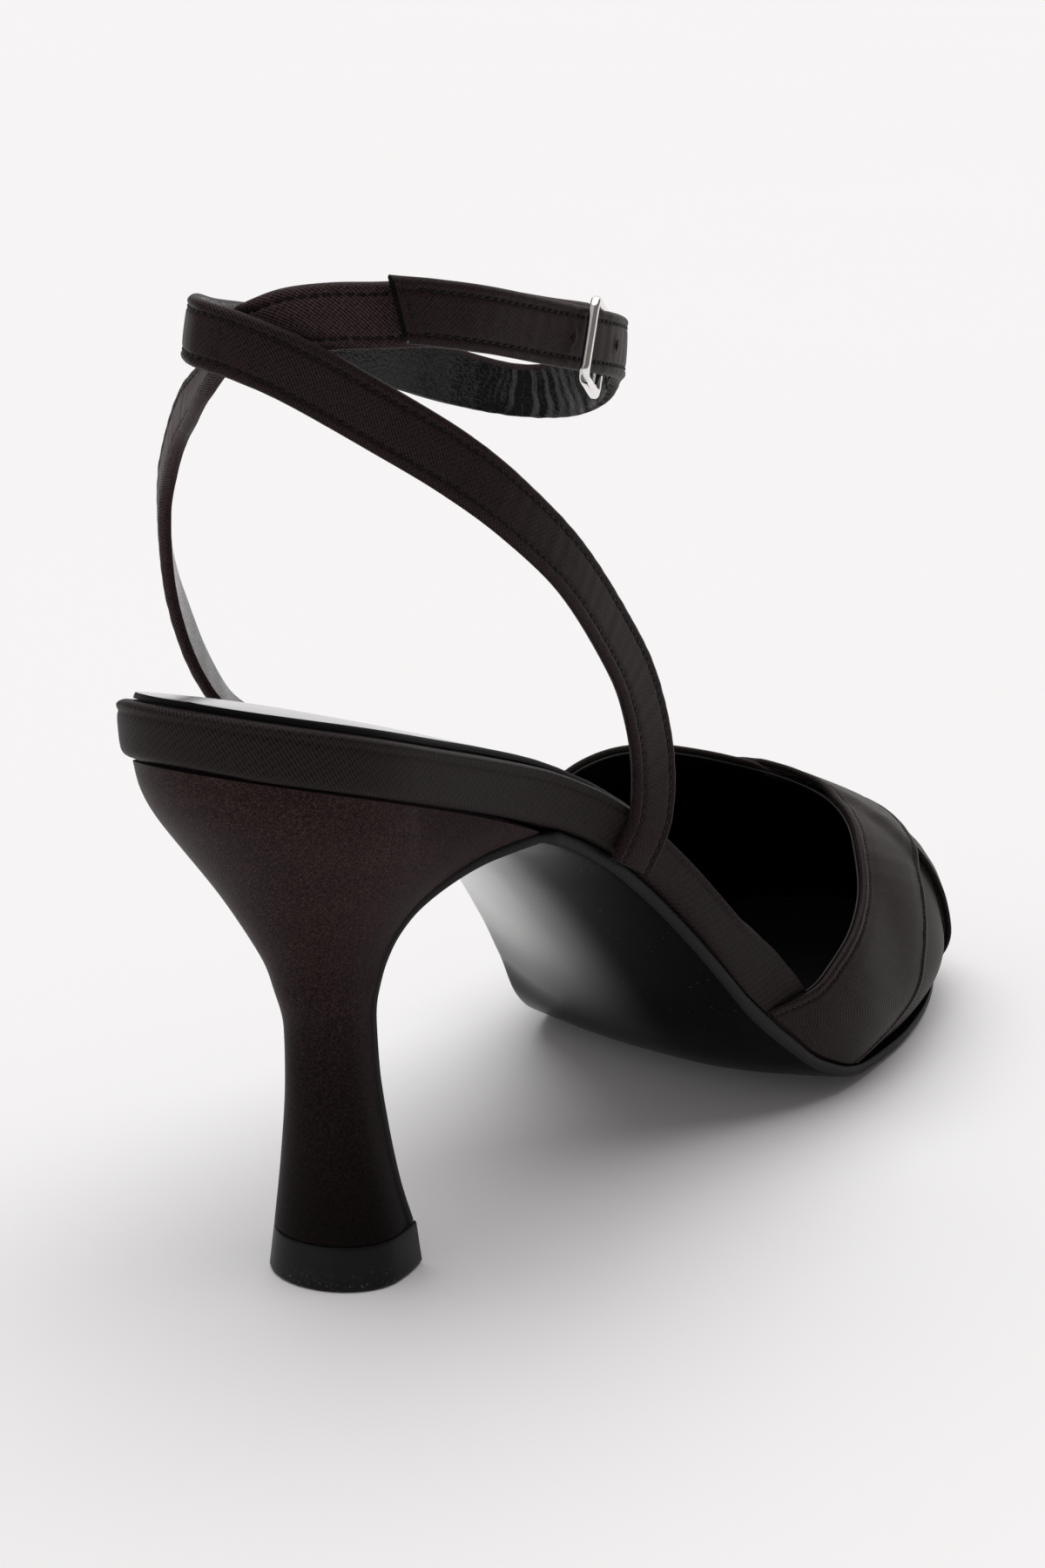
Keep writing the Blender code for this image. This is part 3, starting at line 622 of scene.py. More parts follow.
@dataclass(frozen=True)
class Chrome(Finish):
    """Bright plated metal with faint handling marks."""

    def paint(self, tree: Tree) -> bpy.types.Material:
        """Paint the finish.

        Args:
            tree: Its empty node tree.

        Returns:
            The material.
        """
        cloud = tree.noise(420.0, 3.0, 0.55)
        fine = tree.noise(3600.0, 2.0, 0.6)
        colour = tree.blend(cloud, (0.66, 0.64, 0.62), (0.86, 0.85, 0.84))
        rough = cloud * 0.08 + fine * 0.05 + 0.05
        normal = tree.relief(fine, 0.003)
        return tree.dress(Base_Color=colour, Roughness=rough, Normal=normal, Metallic=1.0)


@dataclass(frozen=True)
class Thread(Finish):
    """Twisted black sewing thread."""

    def paint(self, tree: Tree) -> bpy.types.Material:
        """Paint the finish.

        Args:
            tree: Its empty node tree.

        Returns:
            The material.
        """
        u, v = tree.lay()
        twist = ((u + v * 0.8) * 14.0).cosine() * 0.5 + 0.5
        fine = tree.noise(4200.0, 2.0, 0.6)
        colour = tree.blend(twist * 0.6 + fine * 0.3, (0.0016, 0.0013, 0.0013), (0.0080, 0.0068, 0.0066))
        rough = fine * 0.12 + 0.40
        normal = tree.relief(twist, 0.03)
        return tree.dress(Base_Color=colour, Roughness=rough, Normal=normal, Specular_IOR_Level=0.18)


@dataclass(frozen=True)
class Stitching:
    """Row of lockstitches laid into a seam."""

    pitch: float = 1.72
    reach: float = 1.34
    thick: float = 0.36
    rise: float = 0.22
    sink: float = 0.10
    lean: float = 0.06
    sides: int = 6

    def sew(self, skin: Skin, path: Array, look: Array) -> None:
        """Add a row of stitches to a skin.

        Args:
            skin: Skin that takes the threads.
            path: Points on the surface along the seam, of shape (points, 3).
            look: Outward directions there.
        """
        run = run_lengths(path)
        middles = np.arange(0.5 * self.pitch, run[-1] - 0.4 * self.pitch, self.pitch)
        shares = np.array((-1.0, -0.86, -0.6, -0.2, 0.2, 0.6, 0.86, 1.0))
        turns = np.linspace(0.0, 2.0 * math.pi, self.sides + 1)[:-1]
        round_off = np.sqrt(np.maximum(1.0 - shares ** 4, 0.02))
        for k, middle in enumerate(middles):
            at = middle + shares * self.reach * 0.5
            line = np.stack([np.interp(at, run, path[:, axis]) for axis in range(3)], axis=-1)
            up = unit(np.stack([np.interp(at, run, look[:, axis]) for axis in range(3)], axis=-1))
            ahead = unit(np.gradient(line, axis=0))
            side = np.cross(up, ahead)
            lean = self.lean * math.sin(k * 2.3)
            height = self.rise * (1.0 - shares ** 2) - self.sink
            line = line + up * height[:, None] + side * (lean * shares)[:, None]
            size = (self.thick * 0.5 * round_off)[:, None, None]
            spoke = side[:, None] * np.cos(turns)[None, :, None] + up[:, None] * np.sin(turns)[None, :, None]
            rings = line[:, None] + spoke * size
            skin.loft(rings, sheet_lay(at[:, None], np.linspace(0.0, 1.0, self.sides + 1)[None, :]))


@dataclass
class Last:
    """Bed of the shoe that every piece is drawn from."""

    length: float = 231.0
    gap: float = 0.3
    flat_share: float = 0.10
    seat_back: float = 1.0
    seat_radius: float = 26.0
    seat_fullness: float = 2.15
    toe_start: float = 188.0
    toe_fullness: float = 2.5
    vamp_start: float = 127.4
    footbed_toe: float = 226.0
    crown: float = 1.0
    proud: float = 0.4
    share_limit: float = 1.1
    tuck_run: float = 23.0
    flush_inset: float = 0.5
    flush_lean: float = 2.0
    feather_inset: float = 1.7
    wall: float = 1.3
    bed: Table = Table("s z rise_right rise_left skew rand", (
        (0.0, 91.4, 0.0, 0.0, 0.00, 8.6),
        (15.0, 86.9, 0.0, 0.0, 0.00, 8.6),
        (30.0, 82.0, 0.0, 0.0, 0.00, 8.6),
        (45.0, 76.8, 0.2, 0.2, 0.00, 8.6),
        (58.0, 71.9, 0.6, 0.6, 0.01, 8.6),
        (65.0, 69.0, 1.0, 1.2, 0.03, 8.5),
        (72.0, 65.8, 1.5, 2.2, 0.06, 8.2),
        (80.0, 61.6, 2.0, 3.4, 0.09, 7.8),
        (88.0, 56.4, 2.3, 4.4, 0.11, 7.5),
        (95.0, 50.9, 2.4, 5.0, 0.12, 7.4),
        (103.0, 43.9, 2.2, 5.4, 0.12, 7.3),
        (110.0, 37.2, 2.0, 5.5, 0.12, 7.2),
        (120.0, 27.0, 1.7, 5.4, 0.12, 7.3),
        (130.0, 16.0, 3.2, 5.4, 0.12, 7.5),
        (138.0, 9.0, 4.2, 3.4, 0.12, 6.2),
        (146.0, 4.6, 4.2, 2.0, 0.12, 4.0),
        (153.0, 2.8, 3.2, 1.1, 0.12, 3.2),
        (160.0, 2.3, 2.0, 0.7, 0.12, 3.2),
        (176.0, 2.3, 1.0, 0.7, 0.11, 3.2),
        (190.0, 2.9, 0.7, 0.6, 0.08, 3.0),
        (210.0, 4.8, 0.5, 0.5, 0.04, 2.8),
        (231.0, 7.6, 0.3, 0.3, 0.00, 2.6),
    ))
    outline: Table = Table("s right left middle", (
        (0.0, 22.5, 22.5, 0.0),
        (30.0, 22.5, 22.5, 0.0),
        (50.0, 22.4, 22.4, 0.0),
        (66.0, 22.5, 22.5, 0.0),
        (80.0, 23.2, 22.6, 0.0),
        (95.0, 25.2, 23.6, 0.0),
        (110.0, 28.2, 25.8, 0.0),
        (125.0, 31.2, 28.6, 0.0),
        (140.0, 33.8, 31.8, -0.2),
        (155.0, 35.2, 34.4, -0.6),
        (168.0, 34.8, 35.6, -1.2),
        (182.0, 33.8, 35.0, -1.8),
        (198.0, 31.2, 32.2, -2.6),
        (214.0, 27.2, 28.0, -3.2),
        (231.0, 21.6, 22.4, -3.6),
    ))

    def end_round(self, s: Values, toe: Optional[Values] = None) -> Array:
        """Rounding of the outline at the seat and at the toe.

        Args:
            s: Places along the shoe.
            toe: Place where the toe ends, the sole's own by default.

        Returns:
            Shares of the full width.
        """
        reach = (self.length if toe is None else toe) - self.toe_start
        behind = self.seat_back + self.seat_radius - np.asarray(s)
        seat = closing(behind, self.seat_radius, self.seat_fullness)
        return seat * closing(np.asarray(s) - self.toe_start, reach, self.toe_fullness)

    def half_width(self, s: Values, side: Values, toe: Optional[Values] = None) -> Array:
        """Half width of the sole's outline to the side given by a sign."""
        both = np.where(np.asarray(side) > 0.0, self.outline("right", s), self.outline("left", s))
        return both * self.end_round(s, toe)

    def upright(self, s: Values) -> Array:
        """Height taken up by one millimetre of thickness on the sloping bed."""
        slope = self.bed("z", np.asarray(s) + 0.5) - self.bed("z", np.asarray(s) - 0.5)
        return np.sqrt(1.0 + slope * slope)

    def point(self, s: Values, x: Values, height: Values) -> Array:
        """Points over the feather line.

        Args:
            s: Places along the shoe.
            x: Places across it.
            height: Heights square to the bed.

        Returns:
            Points of shape (..., 3).
        """
        s, x, height = np.broadcast_arrays(*(np.asarray(a, dtype=float) for a in (s, x, height)))
        right = x >= 0.0
        width = np.where(right, self.outline("right", s), self.outline("left", s))
        rise = np.where(right, self.bed("rise_right", s), self.bed("rise_left", s))
        share = np.minimum(np.abs(x) / width, self.share_limit)
        lift = np.maximum((share - self.flat_share) / (1.0 - self.flat_share), 0.0)
        z = self.bed("z", s) + (rise * lift * lift + height) * self.upright(s)
        return np.stack((self.outline("middle", s) + x, s - self.bed("skew", s) * x, z), axis=-1)

    def settled(self, s: Values, level: Values) -> Array:
        """How far the footbed's edge has come in flush with the band, at a level of the rand."""
        level = np.asarray(level, dtype=float)
        return smooth(self.vamp_start - self.tuck_run + 5.0 * level, self.vamp_start + 6.0 * level, s)

    def tucked(self, s: Values, level: Values) -> Array:
        """How far the footbed's edge has gone in behind the vamp, at a level of the rand."""
        low = self.vamp_start + 0.4 + 8.6 * np.asarray(level, dtype=float)
        return smooth(low, low + 4.5, s)

    def rand_width(self, s: Values, side: Values, level: Values = 0.0) -> Array:
        """Half width of the covered footbed: proud at the waist, inside the vamp ahead.

        Args:
            s: Places along the shoe.
            side: Signs of the sides.
            level: Shares of the rand's height.

        Returns:
            The half widths.
        """
        proud = self.proud + self.proud * smooth(60.0, 80.0, s)
        inside = self.feather_inset + self.wall + 2.0 * self.gap
        hidden = self.tucked(s, level)
        flush = proud - (proud + self.flush_inset - self.flush_lean * level) * self.settled(s, level)
        away = flush * (1.0 - hidden) - inside * hidden
        return self.half_width(s, side, self.footbed_toe) + away * self.end_round(s, self.footbed_toe)

    def seat_place(self, s: Values, inset: float) -> Array:
        """Place on the full outline that matches one on an outline set in at the seat."""
        moved = self.seat_back + (s - self.seat_back - inset) * self.seat_radius / (self.seat_radius - inset)
        return np.where(np.asarray(s) > self.seat_back + self.seat_radius, s, moved)

    def seat_crown(self, s: Values, share: Values) -> Array:
        """Padded rise of the footbed's top, none at its edges, its back or under the vamp."""
        open_part = 1.0 - smooth(self.vamp_start - 6.0, self.vamp_start + 6.0, s)
        return self.crown * (1.0 - np.asarray(share) ** 2) * open_part * self.end_round(s) ** 2

    def spread(self, points: Array, amount: Values) -> Array:
        """Points moved outwards in plan, square to the rounded seat.

        Args:
            points: Points of shape (..., 3).
            amount: Millimetres to move them by.

        Returns:
            The moved points.
        """
        behind = np.minimum(points[..., 1] - self.seat_back - self.seat_radius, 0.0)
        away = np.maximum(np.hypot(points[..., 0], behind), 1e-6)
        shift = np.stack((points[..., 0] / away, behind / away, np.zeros_like(away)), axis=-1)
        return points + shift * np.asarray(amount)[..., None]

    def stations(self, start: float, end: float, fine: float = 1.2) -> Array:
        """Places along the bed, crowded at its two rounded ends.

        Args:
            start: First place.
            end: Last place.
            fine: Pitch between the ends.

        Returns:
            The places in order.
        """
        seat, toe = 27.0, 190.0
        quarter = np.linspace(0.0, math.pi / 2.0, 28)
        back = start + (seat - start) * (1.0 - np.cos(quarter[:-1]))
        middle = np.arange(seat, toe, fine)
        return np.concatenate((back, middle, toe + (end - toe) * np.sin(quarter)))


def piece(made: bpy.types.Object, slot: str, *nodes: str) -> None:
    """Hand one piece to the frame.

    Args:
        made: The piece.
        slot: Material slot of the record that it stands for; it is only written to the log.
        nodes: CAD nodes that it stands for.
    """
    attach(made, "root")
    if nodes:
        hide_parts(*nodes)
    count = sum(len(face.vertices) - 2 for face in made.data.polygons)
    LOG.info("%s: %d triangles, slot %s", made.name, count, slot)


@dataclass
class SoleUnit:
    """Outsole with its breast flap, covered heel and top piece."""

    last: Last
    thick: float = 2.0
    breast_top: float = 69.0
    top_height: float = 7.3
    under_count: int = 41
    over_count: int = 15
    over_share: float = 0.97
    flap_share: float = 0.985
    flap_inset: float = 0.9
    flap_rows: int = 40
    heel_rows: int = 121
    round_count: int = 57
    side_count: int = 19
    breast_count: int = 9
    rim: tuple[tuple[float, float], ...] = (
        (-0.62, 0.04), (-0.34, 0.17), (-0.12, 0.45), (0.0, 0.9), (0.04, 1.4), (0.0, 1.75), (-0.2, 2.0))
    heel_table: Table = Table("row z tilt back widest half", (
        (0, 7.6, 0.00, 29.0, 38.0, 10.6),
        (1, 19.0, 0.00, 29.4, 36.8, 8.6),
        (2, 32.0, 0.00, 29.6, 35.8, 7.0),
        (3, 41.0, 0.00, 29.4, 35.4, 6.8),
        (4, 48.0, 0.05, 27.0, 35.0, 7.6),
        (5, 54.0, 0.25, 24.0, 34.2, 9.0),
        (6, 62.0, 0.75, 17.0, 32.6, 13.2),
        (7, 71.8, 1.00, 7.4, 30.0, 19.8),
        (8, 77.8, 1.00, 3.4, 28.6, 22.3),
        (9, 82.4, 1.00, 1.8, 27.5, 22.6),
    ))
    breast_table: Table = Table("row y z half", (
        (0, 65.6, 66.8, 22.0),
        (1, 61.4, 66.3, 20.2),
        (2, 55.6, 65.0, 17.2),
        (3, 50.4, 62.6, 14.2),
        (4, 46.4, 59.3, 11.2),
        (5, 43.9, 55.7, 9.1),
        (6, 42.3, 52.0, 7.8),
        (7, 41.6, 48.0, 6.8),
        (8, 41.2, 43.0, 6.2),
        (9, 41.8, 35.0, 6.2),
        (10, 42.9, 25.0, 7.0),
        (11, 44.3, 15.0, 8.3),
        (12, 46.0, 7.6, 9.6),
    ))

    def breast(self, row: Values, depth: float) -> tuple[Array, Array, Array]:
        """Points of the breast at a depth in from the sole's outer face.

        Args:
            row: Rows of the breast table.
            depth: Depth in from the outer face.

        Returns:
            Places along the shoe, heights and half widths.
        """
        step = 0.3
        ahead = np.maximum(np.asarray(row) - step, 0.0)
        behind = np.minimum(np.asarray(row) + step, self.breast_table.key[-1])
        along_y = self.breast_table("y", behind) - self.breast_table("y", ahead)
        along_z = self.breast_table("z", behind) - self.breast_table("z", ahead)
        size = np.hypot(along_y, along_z)
        y = self.breast_table("y", row) + along_z / size * depth
        z = self.breast_table("z", row) - along_y / size * depth
        return y, z, self.breast_table("half", row)

    def _sole_ring(self, s: float) -> Array:
        """Section of the sole at one place: underside, softened edge and upper side.

        Args:
            s: Place along the shoe.

        Returns:
            Points of shape (columns, 3).
        """
        last = self.last
        low, high = -last.gap - self.thick, -last.gap
        under = np.linspace(-1.0, 1.0, self.under_count)
        over = np.linspace(self.over_share, -self.over_share, self.over_count)
        out, up = np.array(self.rim).T
        out = out * last.end_round(s)
        right = last.point(s, last.half_width(s, 1.0) + out, low + up)
        left = last.point(s, -(last.half_width(s, -1.0) + out), low + up)
        below = last.point(s, under * (last.half_width(s, under) - 1.0), low)
        above = last.point(s, over * last.half_width(s, over), high)
        points = np.concatenate((below, right, above, left[::-1]))
        points[:, 2] = np.maximum(points[:, 2], 0.0)
        return points

    def _flap_ring(self, row: float) -> Array:
        """Section of the flap at one row of the breast, with the columns of a sole ring.

        Args:
            row: Row of the breast table.

        Returns:
            Points of shape (columns, 3).
        """
        floor = self.top_height + self.last.gap
        y, z, half = self.breast(row, 0.0)
        deep_y, deep_z, _ = self.breast(row, self.thick)
        deep_z = min(max(float(deep_z), floor), float(self.last.bed("z", deep_y)) - 1.2 * self.last.gap)
        outer, inner = np.array((y, max(float(z), floor))), np.array((deep_y, deep_z))
        edge = half * self.flap_share
        under = np.linspace(-1.0, 1.0, self.under_count) * (edge - self.flap_inset)
        over = np.linspace(self.over_share, -self.over_share, self.over_count) * half * self.flap_share
        out, up = np.array(self.rim).T
        out, rise = out + edge, up / self.thick
        x = np.concatenate((under, out, over, -out[::-1]))
        share = np.concatenate((np.zeros(len(under)), rise, np.ones(len(over)), rise[::-1]))
        return np.column_stack((x, outer + (inner - outer) * share[:, None]))

    def outsole(self) -> bpy.types.Object:
        """Make the sole and its flap as one skin.

        Returns:
            The piece.
        """
        last = self.last
        places = last.stations(0.0, last.length - 0.02, 2.0)
        places = places[places > self.breast_top + 1.0][::-1]
        rings = [self._sole_ring(float(s)) for s in places]
        rings.append(self._sole_ring(self.breast_top))
        flap = np.linspace(0.0, self.breast_table.key[-1], self.flap_rows)
        rings += [self._flap_ring(float(row)) for row in flap]
        fine = resample(np.array(rings), 2)
        fine[..., 2] = np.maximum(fine[..., 2], 0.0)
        run = run_lengths(fine[:, self.under_count // 2])
        sample = 40
        around = closed_lengths(fine[sample])
        lay = sheet_lay(run[:, None], around[None, :])
        skin = Skin()
        finish = np.zeros(fine.shape[1], dtype=int)
        wall = len(self.rim) - 1
        for first in (self.under_count, self.under_count + len(self.rim) + self.over_count):
            finish[first:first + wall] = 1
        skin.loft(fine, lay, np.broadcast_to(finish, (len(fine) - 1, len(finish))))
        dark, pale = (0.0035, 0.0035, 0.0035), (0.011, 0.011, 0.011)
        edge = Leather("sole_edge", dark, pale, grain=1500.0, rough=0.45, gloss=0.12)
        return skin.build("outsole_polished", [SoleGloss("sole_gloss"), edge])

    def heel_height(self, row: Values, y: Values) -> Array:
        """Height of one heel section at places along the shoe.

        Args:
            row: Row of the heel table.
            y: Places along the shoe.

        Returns:
            The heights.
        """
        bed = self.last.bed
        slope = bed("z", y) - bed("z", self.heel_table("widest", row))
        level = self.heel_table("z", row) + self.heel_table("tilt", row) * slope
        return np.minimum(level, bed("z", y) - self.last.gap)

    def heel_plan(self, row: float, grow: float = 0.0) -> Array:
        """Plan of one heel section.

        Args:
            row: Row of the heel table.
            grow: Millimetres that the plan stands out by.

        Returns:
            Points of shape (columns, 2).
        """
        back, widest, half = (float(self.heel_table(name, row)) for name in ("back", "widest", "half"))
        steps = 960
        rows = np.linspace(0.0, self.breast_table.key[-1], steps + 1)
        y, z, width = self.breast(rows, self.thick + self.last.gap)
        miss = self.heel_height(row, y) - z
        best = int(np.argmin(np.abs(miss)))
        near = best + (1 if best < steps and miss[best] * miss[best + 1] < 0.0 else -1)
        near = min(max(near, 0), steps)
        share = miss[best] / (miss[best] - miss[near]) if miss[best] != miss[near] else 0.0
        share = min(max(share, 0.0), 1.0)
        breast = float(y[best] + (y[near] - y[best]) * share)
        breast_half = float(width[best] + (width[near] - width[best]) * share)
        half, back = half + grow, back - grow
        turn = np.linspace(0.0, math.pi, self.round_count)
        behind = np.column_stack((half * np.cos(turn), widest - (widest - back) * np.sin(turn)))
        t = np.linspace(0.0, 1.0, self.side_count)[1:]
        side = np.column_stack((-half + (half - breast_half) * t * t, widest + (breast - widest) * t))
        across = np.linspace(-1.0, 1.0, self.breast_count)[1:-1] * breast_half
        ahead = np.column_stack((across, np.full(len(across), breast)))
        return np.concatenate((behind, side, ahead, side[::-1] * (-1.0, 1.0)))

    def heel(self) -> bpy.types.Object:
        """Make the covered heel block.

        Returns:
            The piece.
        """
        rings = []
        rows = np.linspace(0.0, self.heel_table.key[-1], self.heel_rows)
        for row in rows:
            plan = self.heel_plan(float(row))
            rings.append(np.column_stack((plan, self.heel_height(row, plan[:, 1]))))
        rings[-1][:, 2] = self.last.bed("z", rings[-1][:, 1]) - self.last.gap
        middle = rings[-1].mean(axis=0)
        for inset, rise in ((0.96, self.last.gap), (0.90, 0.7)):
            ring = middle + (rings[-1] - middle) * inset
            ring[:, 2] = self.last.bed("z", ring[:, 1]) - self.last.gap + rise
            rings.append(ring)
        body = np.array(rings)
        around = np.array([closed_lengths(ring) for ring in body])
        back = self.round_count // 2
        around = around - around[:, back:back + 1]
        height = np.concatenate((body[..., 2], body[:, :1, 2]), axis=1)
        skin = Skin()
        skin.loft(body, np.stack((around, height), axis=-1))
        # The heel's satin is painted darker towards the floor: painted shade.
        satin = Satin("heel_satin", (0.0095, 0.0052, 0.0052), (0.088, 0.048, 0.048), pitch=0.36, slant=0.7,
                      gloss=0.04, weave_glint_contrast=0.3, sheen=0.02, painted_foot_shade=0.85)
        return skin.build("heel_covered", [satin])

    def top_piece(self) -> bpy.types.Object:
        """Make the block that the heel stands on.

        Returns:
            The piece.
        """
        plan = self.heel_plan(0.0)
        breast = float(self.breast_table("y", self.breast_table.key[-1]))
        widest, half = (float(self.heel_table(name, 0.0)) for name in ("widest", "half"))
        flush = float(plan[:, 1].max())
        ahead = np.maximum(plan[:, 1] - widest, 0.0) / (flush - widest)
        lip, lip_height, neck, wall = 0.9, 0.62, 0.05, 6.68
        levels = [(0.0, 0.28), (0.08, 0.52), (0.3, 0.78), (lip_height, lip)]
        levels += [(z, lip + (neck - lip) * (z - lip_height) / wall) for z in np.linspace(1.2, 6.9, 8)]
        levels += [(7.16, 0.0), (7.27, -0.12), (7.3, -0.34)]
        rings = []
        for z, grow in levels:
            scale = 1.0 + grow / half
            y = widest + (plan[:, 1] - widest) * scale + ahead * (breast - flush)
            rings.append(np.column_stack((plan[:, 0] * scale, y, np.full(len(plan), z))))
        body = np.array(rings)
        around = closed_lengths(body[0])
        lay = sheet_lay(around[None, :], np.array(levels)[:, :1])
        skin = Skin()
        skin.loft(body, lay)
        return skin.build("top_piece_block", [TopPlastic("top_plastic")], 35.0)

    def dress(self) -> None:
        """Make the pieces and hand them to the frame."""
        piece(self.outsole(), "outsole_gloss", "outsole")
        piece(self.heel(), "heel_satin", "heel")
        piece(self.top_piece(), "top_piece_plastic", "top_piece")


@dataclass
class Footbed:
    """Covered footbed edge and the sock that lies on it."""

    last: Last
    flare: float = 1.0
    board_lift: float = 0.15
    tuck_lift: float = 0.25
    flat_share: float = 0.9
    flat_count: int = 19
    wave: float = 0.06
    wave_pitch: float = 17.0
    sock_thick: float = 0.9
    sock_inset: float = 1.5
    sock_seat: float = 0.34
    sock_end: float = 218.0
    sock_round: float = 26.0
    sock_taper: float = 0.992
    edge: Table = Table("level out", (
        (0.00, -0.55), (0.03, -0.15), (0.10, 0.35), (0.22, 0.62), (0.45, 0.80), (0.66, 0.90),
        (0.76, 0.84), (0.81, 0.72), (0.86, 0.92), (0.92, 1.02), (0.965, 0.70), (0.99, 0.20),
        (1.00, -0.25),
    ))

    def rand(self) -> bpy.types.Object:
        """Make the footbed with its satin edge.

        Returns:
            The piece.
        """
        last = self.last
        places = last.stations(last.seat_back, last.footbed_toe - 0.01)
        levels = np.array((0.0, 0.012, 0.03, 0.06, 0.1, 0.16, 0.22, 0.3, 0.38, 0.46, 0.54, 0.62, 0.68, 0.72,
                           0.755, 0.785, 0.81, 0.835, 0.865, 0.895, 0.92, 0.945, 0.965, 0.98, 0.99, 1.0))
        s = places[:, None]
        rand = last.bed("rand", s)
        lift = self.board_lift + self.tuck_lift * last.tucked(s, 0.0)
        shares = np.linspace(-self.flat_share, self.flat_share, self.flat_count)[None, :]
        bottom = last.point(s, shares * last.half_width(s, shares, last.footbed_toe), self.board_lift)
        top = last.point(s, shares * last.rand_width(s, shares, 1.0), rand + last.seat_crown(s, shares))
        walls = []
        for side in (1.0, -1.0):
            level = levels[None, :]
            height = lift + (rand - lift) * level
            wall = last.point(s, side * last.rand_width(s, side, level), height)
            out = self.edge("out", level) * self.flare * (1.0 - last.settled(s, level))
            out = out + self.wave * ripple(s, self.wave_pitch, side) * np.sin(math.pi * level)
            walls.append(last.spread(wall, out))
        body = np.concatenate((bottom, walls[0], top[:, ::-1], walls[1][:, ::-1]), axis=1)
        flat, tall, height_level, mean_height = shares.shape[1], len(levels), 10, 8.0
        run = run_lengths(walls[0][:, height_level])[:, None]
        rise = run_lengths(np.column_stack((levels * mean_height, self.edge("out", levels))))
        sign = np.concatenate((np.linspace(-1.0, 1.0, flat), np.ones(tall), np.linspace(1.0, -1.0, flat),
                               -np.ones(tall), (-1.0,)))
        up = np.concatenate((np.zeros(flat), rise, np.full(flat, rise[-1]), rise[::-1], (0.0,)))
        lay = sheet_lay(run * sign[None, :], up[None, :])
        skin = Skin()
        skin.grid(body, lay, ring=True)
        skin.cap(body[-1])
        # Strong weave contrast on the rand: its pale twill dots are painted glints.
        satin = Satin("rand_satin", (0.0004, 0.0003, 0.0003), (0.023, 0.0165, 0.0169), depth=0.06, pitch=0.56,
                      slant=0.62, weave_glint_contrast=2.2, sheen=0.02)
        return skin.build("footbed_covered", [satin])

    def sock(self) -> bpy.types.Object:
        """Make the sock that lines the footbed.

        Returns:
            The piece.
        """
        last = self.last
        places = last.stations(last.seat_back + self.sock_inset + 0.01, self.sock_end)
        s = places[:, None]
        at = last.seat_place(s, self.sock_inset)
        rim = np.array((0.97, 0.985, 1.0))
        shares = np.concatenate((-rim[::-1], np.linspace(-0.95, 0.95, 41), rim))[None, :]
        width = last.rand_width(at, shares, 1.0)
        x = shares * (width - self.sock_inset * last.end_round(at, last.footbed_toe))
        crown = last.seat_crown(s, x / np.maximum(width, 0.01))
        under = last.bed("rand", s) + crown + self.sock_seat
        edge = np.clip((1.0 - np.abs(shares)) * self.sock_round, 0.0, 1.0)
        soft = self.sock_thick * (0.45 + 0.55 * np.sqrt(1.0 - (1.0 - edge) ** 2))
        low = last.point(s, x, under)
        high = last.point(s, x * self.sock_taper, under + soft)
        body = np.concatenate((low, high[:, ::-1]), axis=1)
        count = shares.shape[1]
        run = run_lengths(low[:, count // 2])
        sample = 60
        around = closed_lengths(body[sample])
        lay = sheet_lay(run[:, None], around[None, :])
        columns = np.zeros(body.shape[1], dtype=int)
        columns[count - 1:count + 2] = columns[-3:] = 1
        skin = Skin()
        skin.loft(body, lay, np.broadcast_to(columns, (len(places) - 1, len(columns))), 1)
        rim_edge = Leather("sock_edge", rough=0.55, gloss=0.10, depth=0.02)
        # The sock's colour is painted dark where it runs in under the vamp: painted shade.
        finish = Leather("sock_leather", rough=0.24, gloss=0.15, depth=0.012, polish=1.0, cover=0.006)
        return skin.build("insole_sock_lined", [finish, rim_edge])

    def dress(self) -> None:
        """Make the pieces and hand them to the frame."""
        piece(self.rand(), "rand_satin", "footbed")
        piece(self.sock(), "sock_lining", "insole_sock")


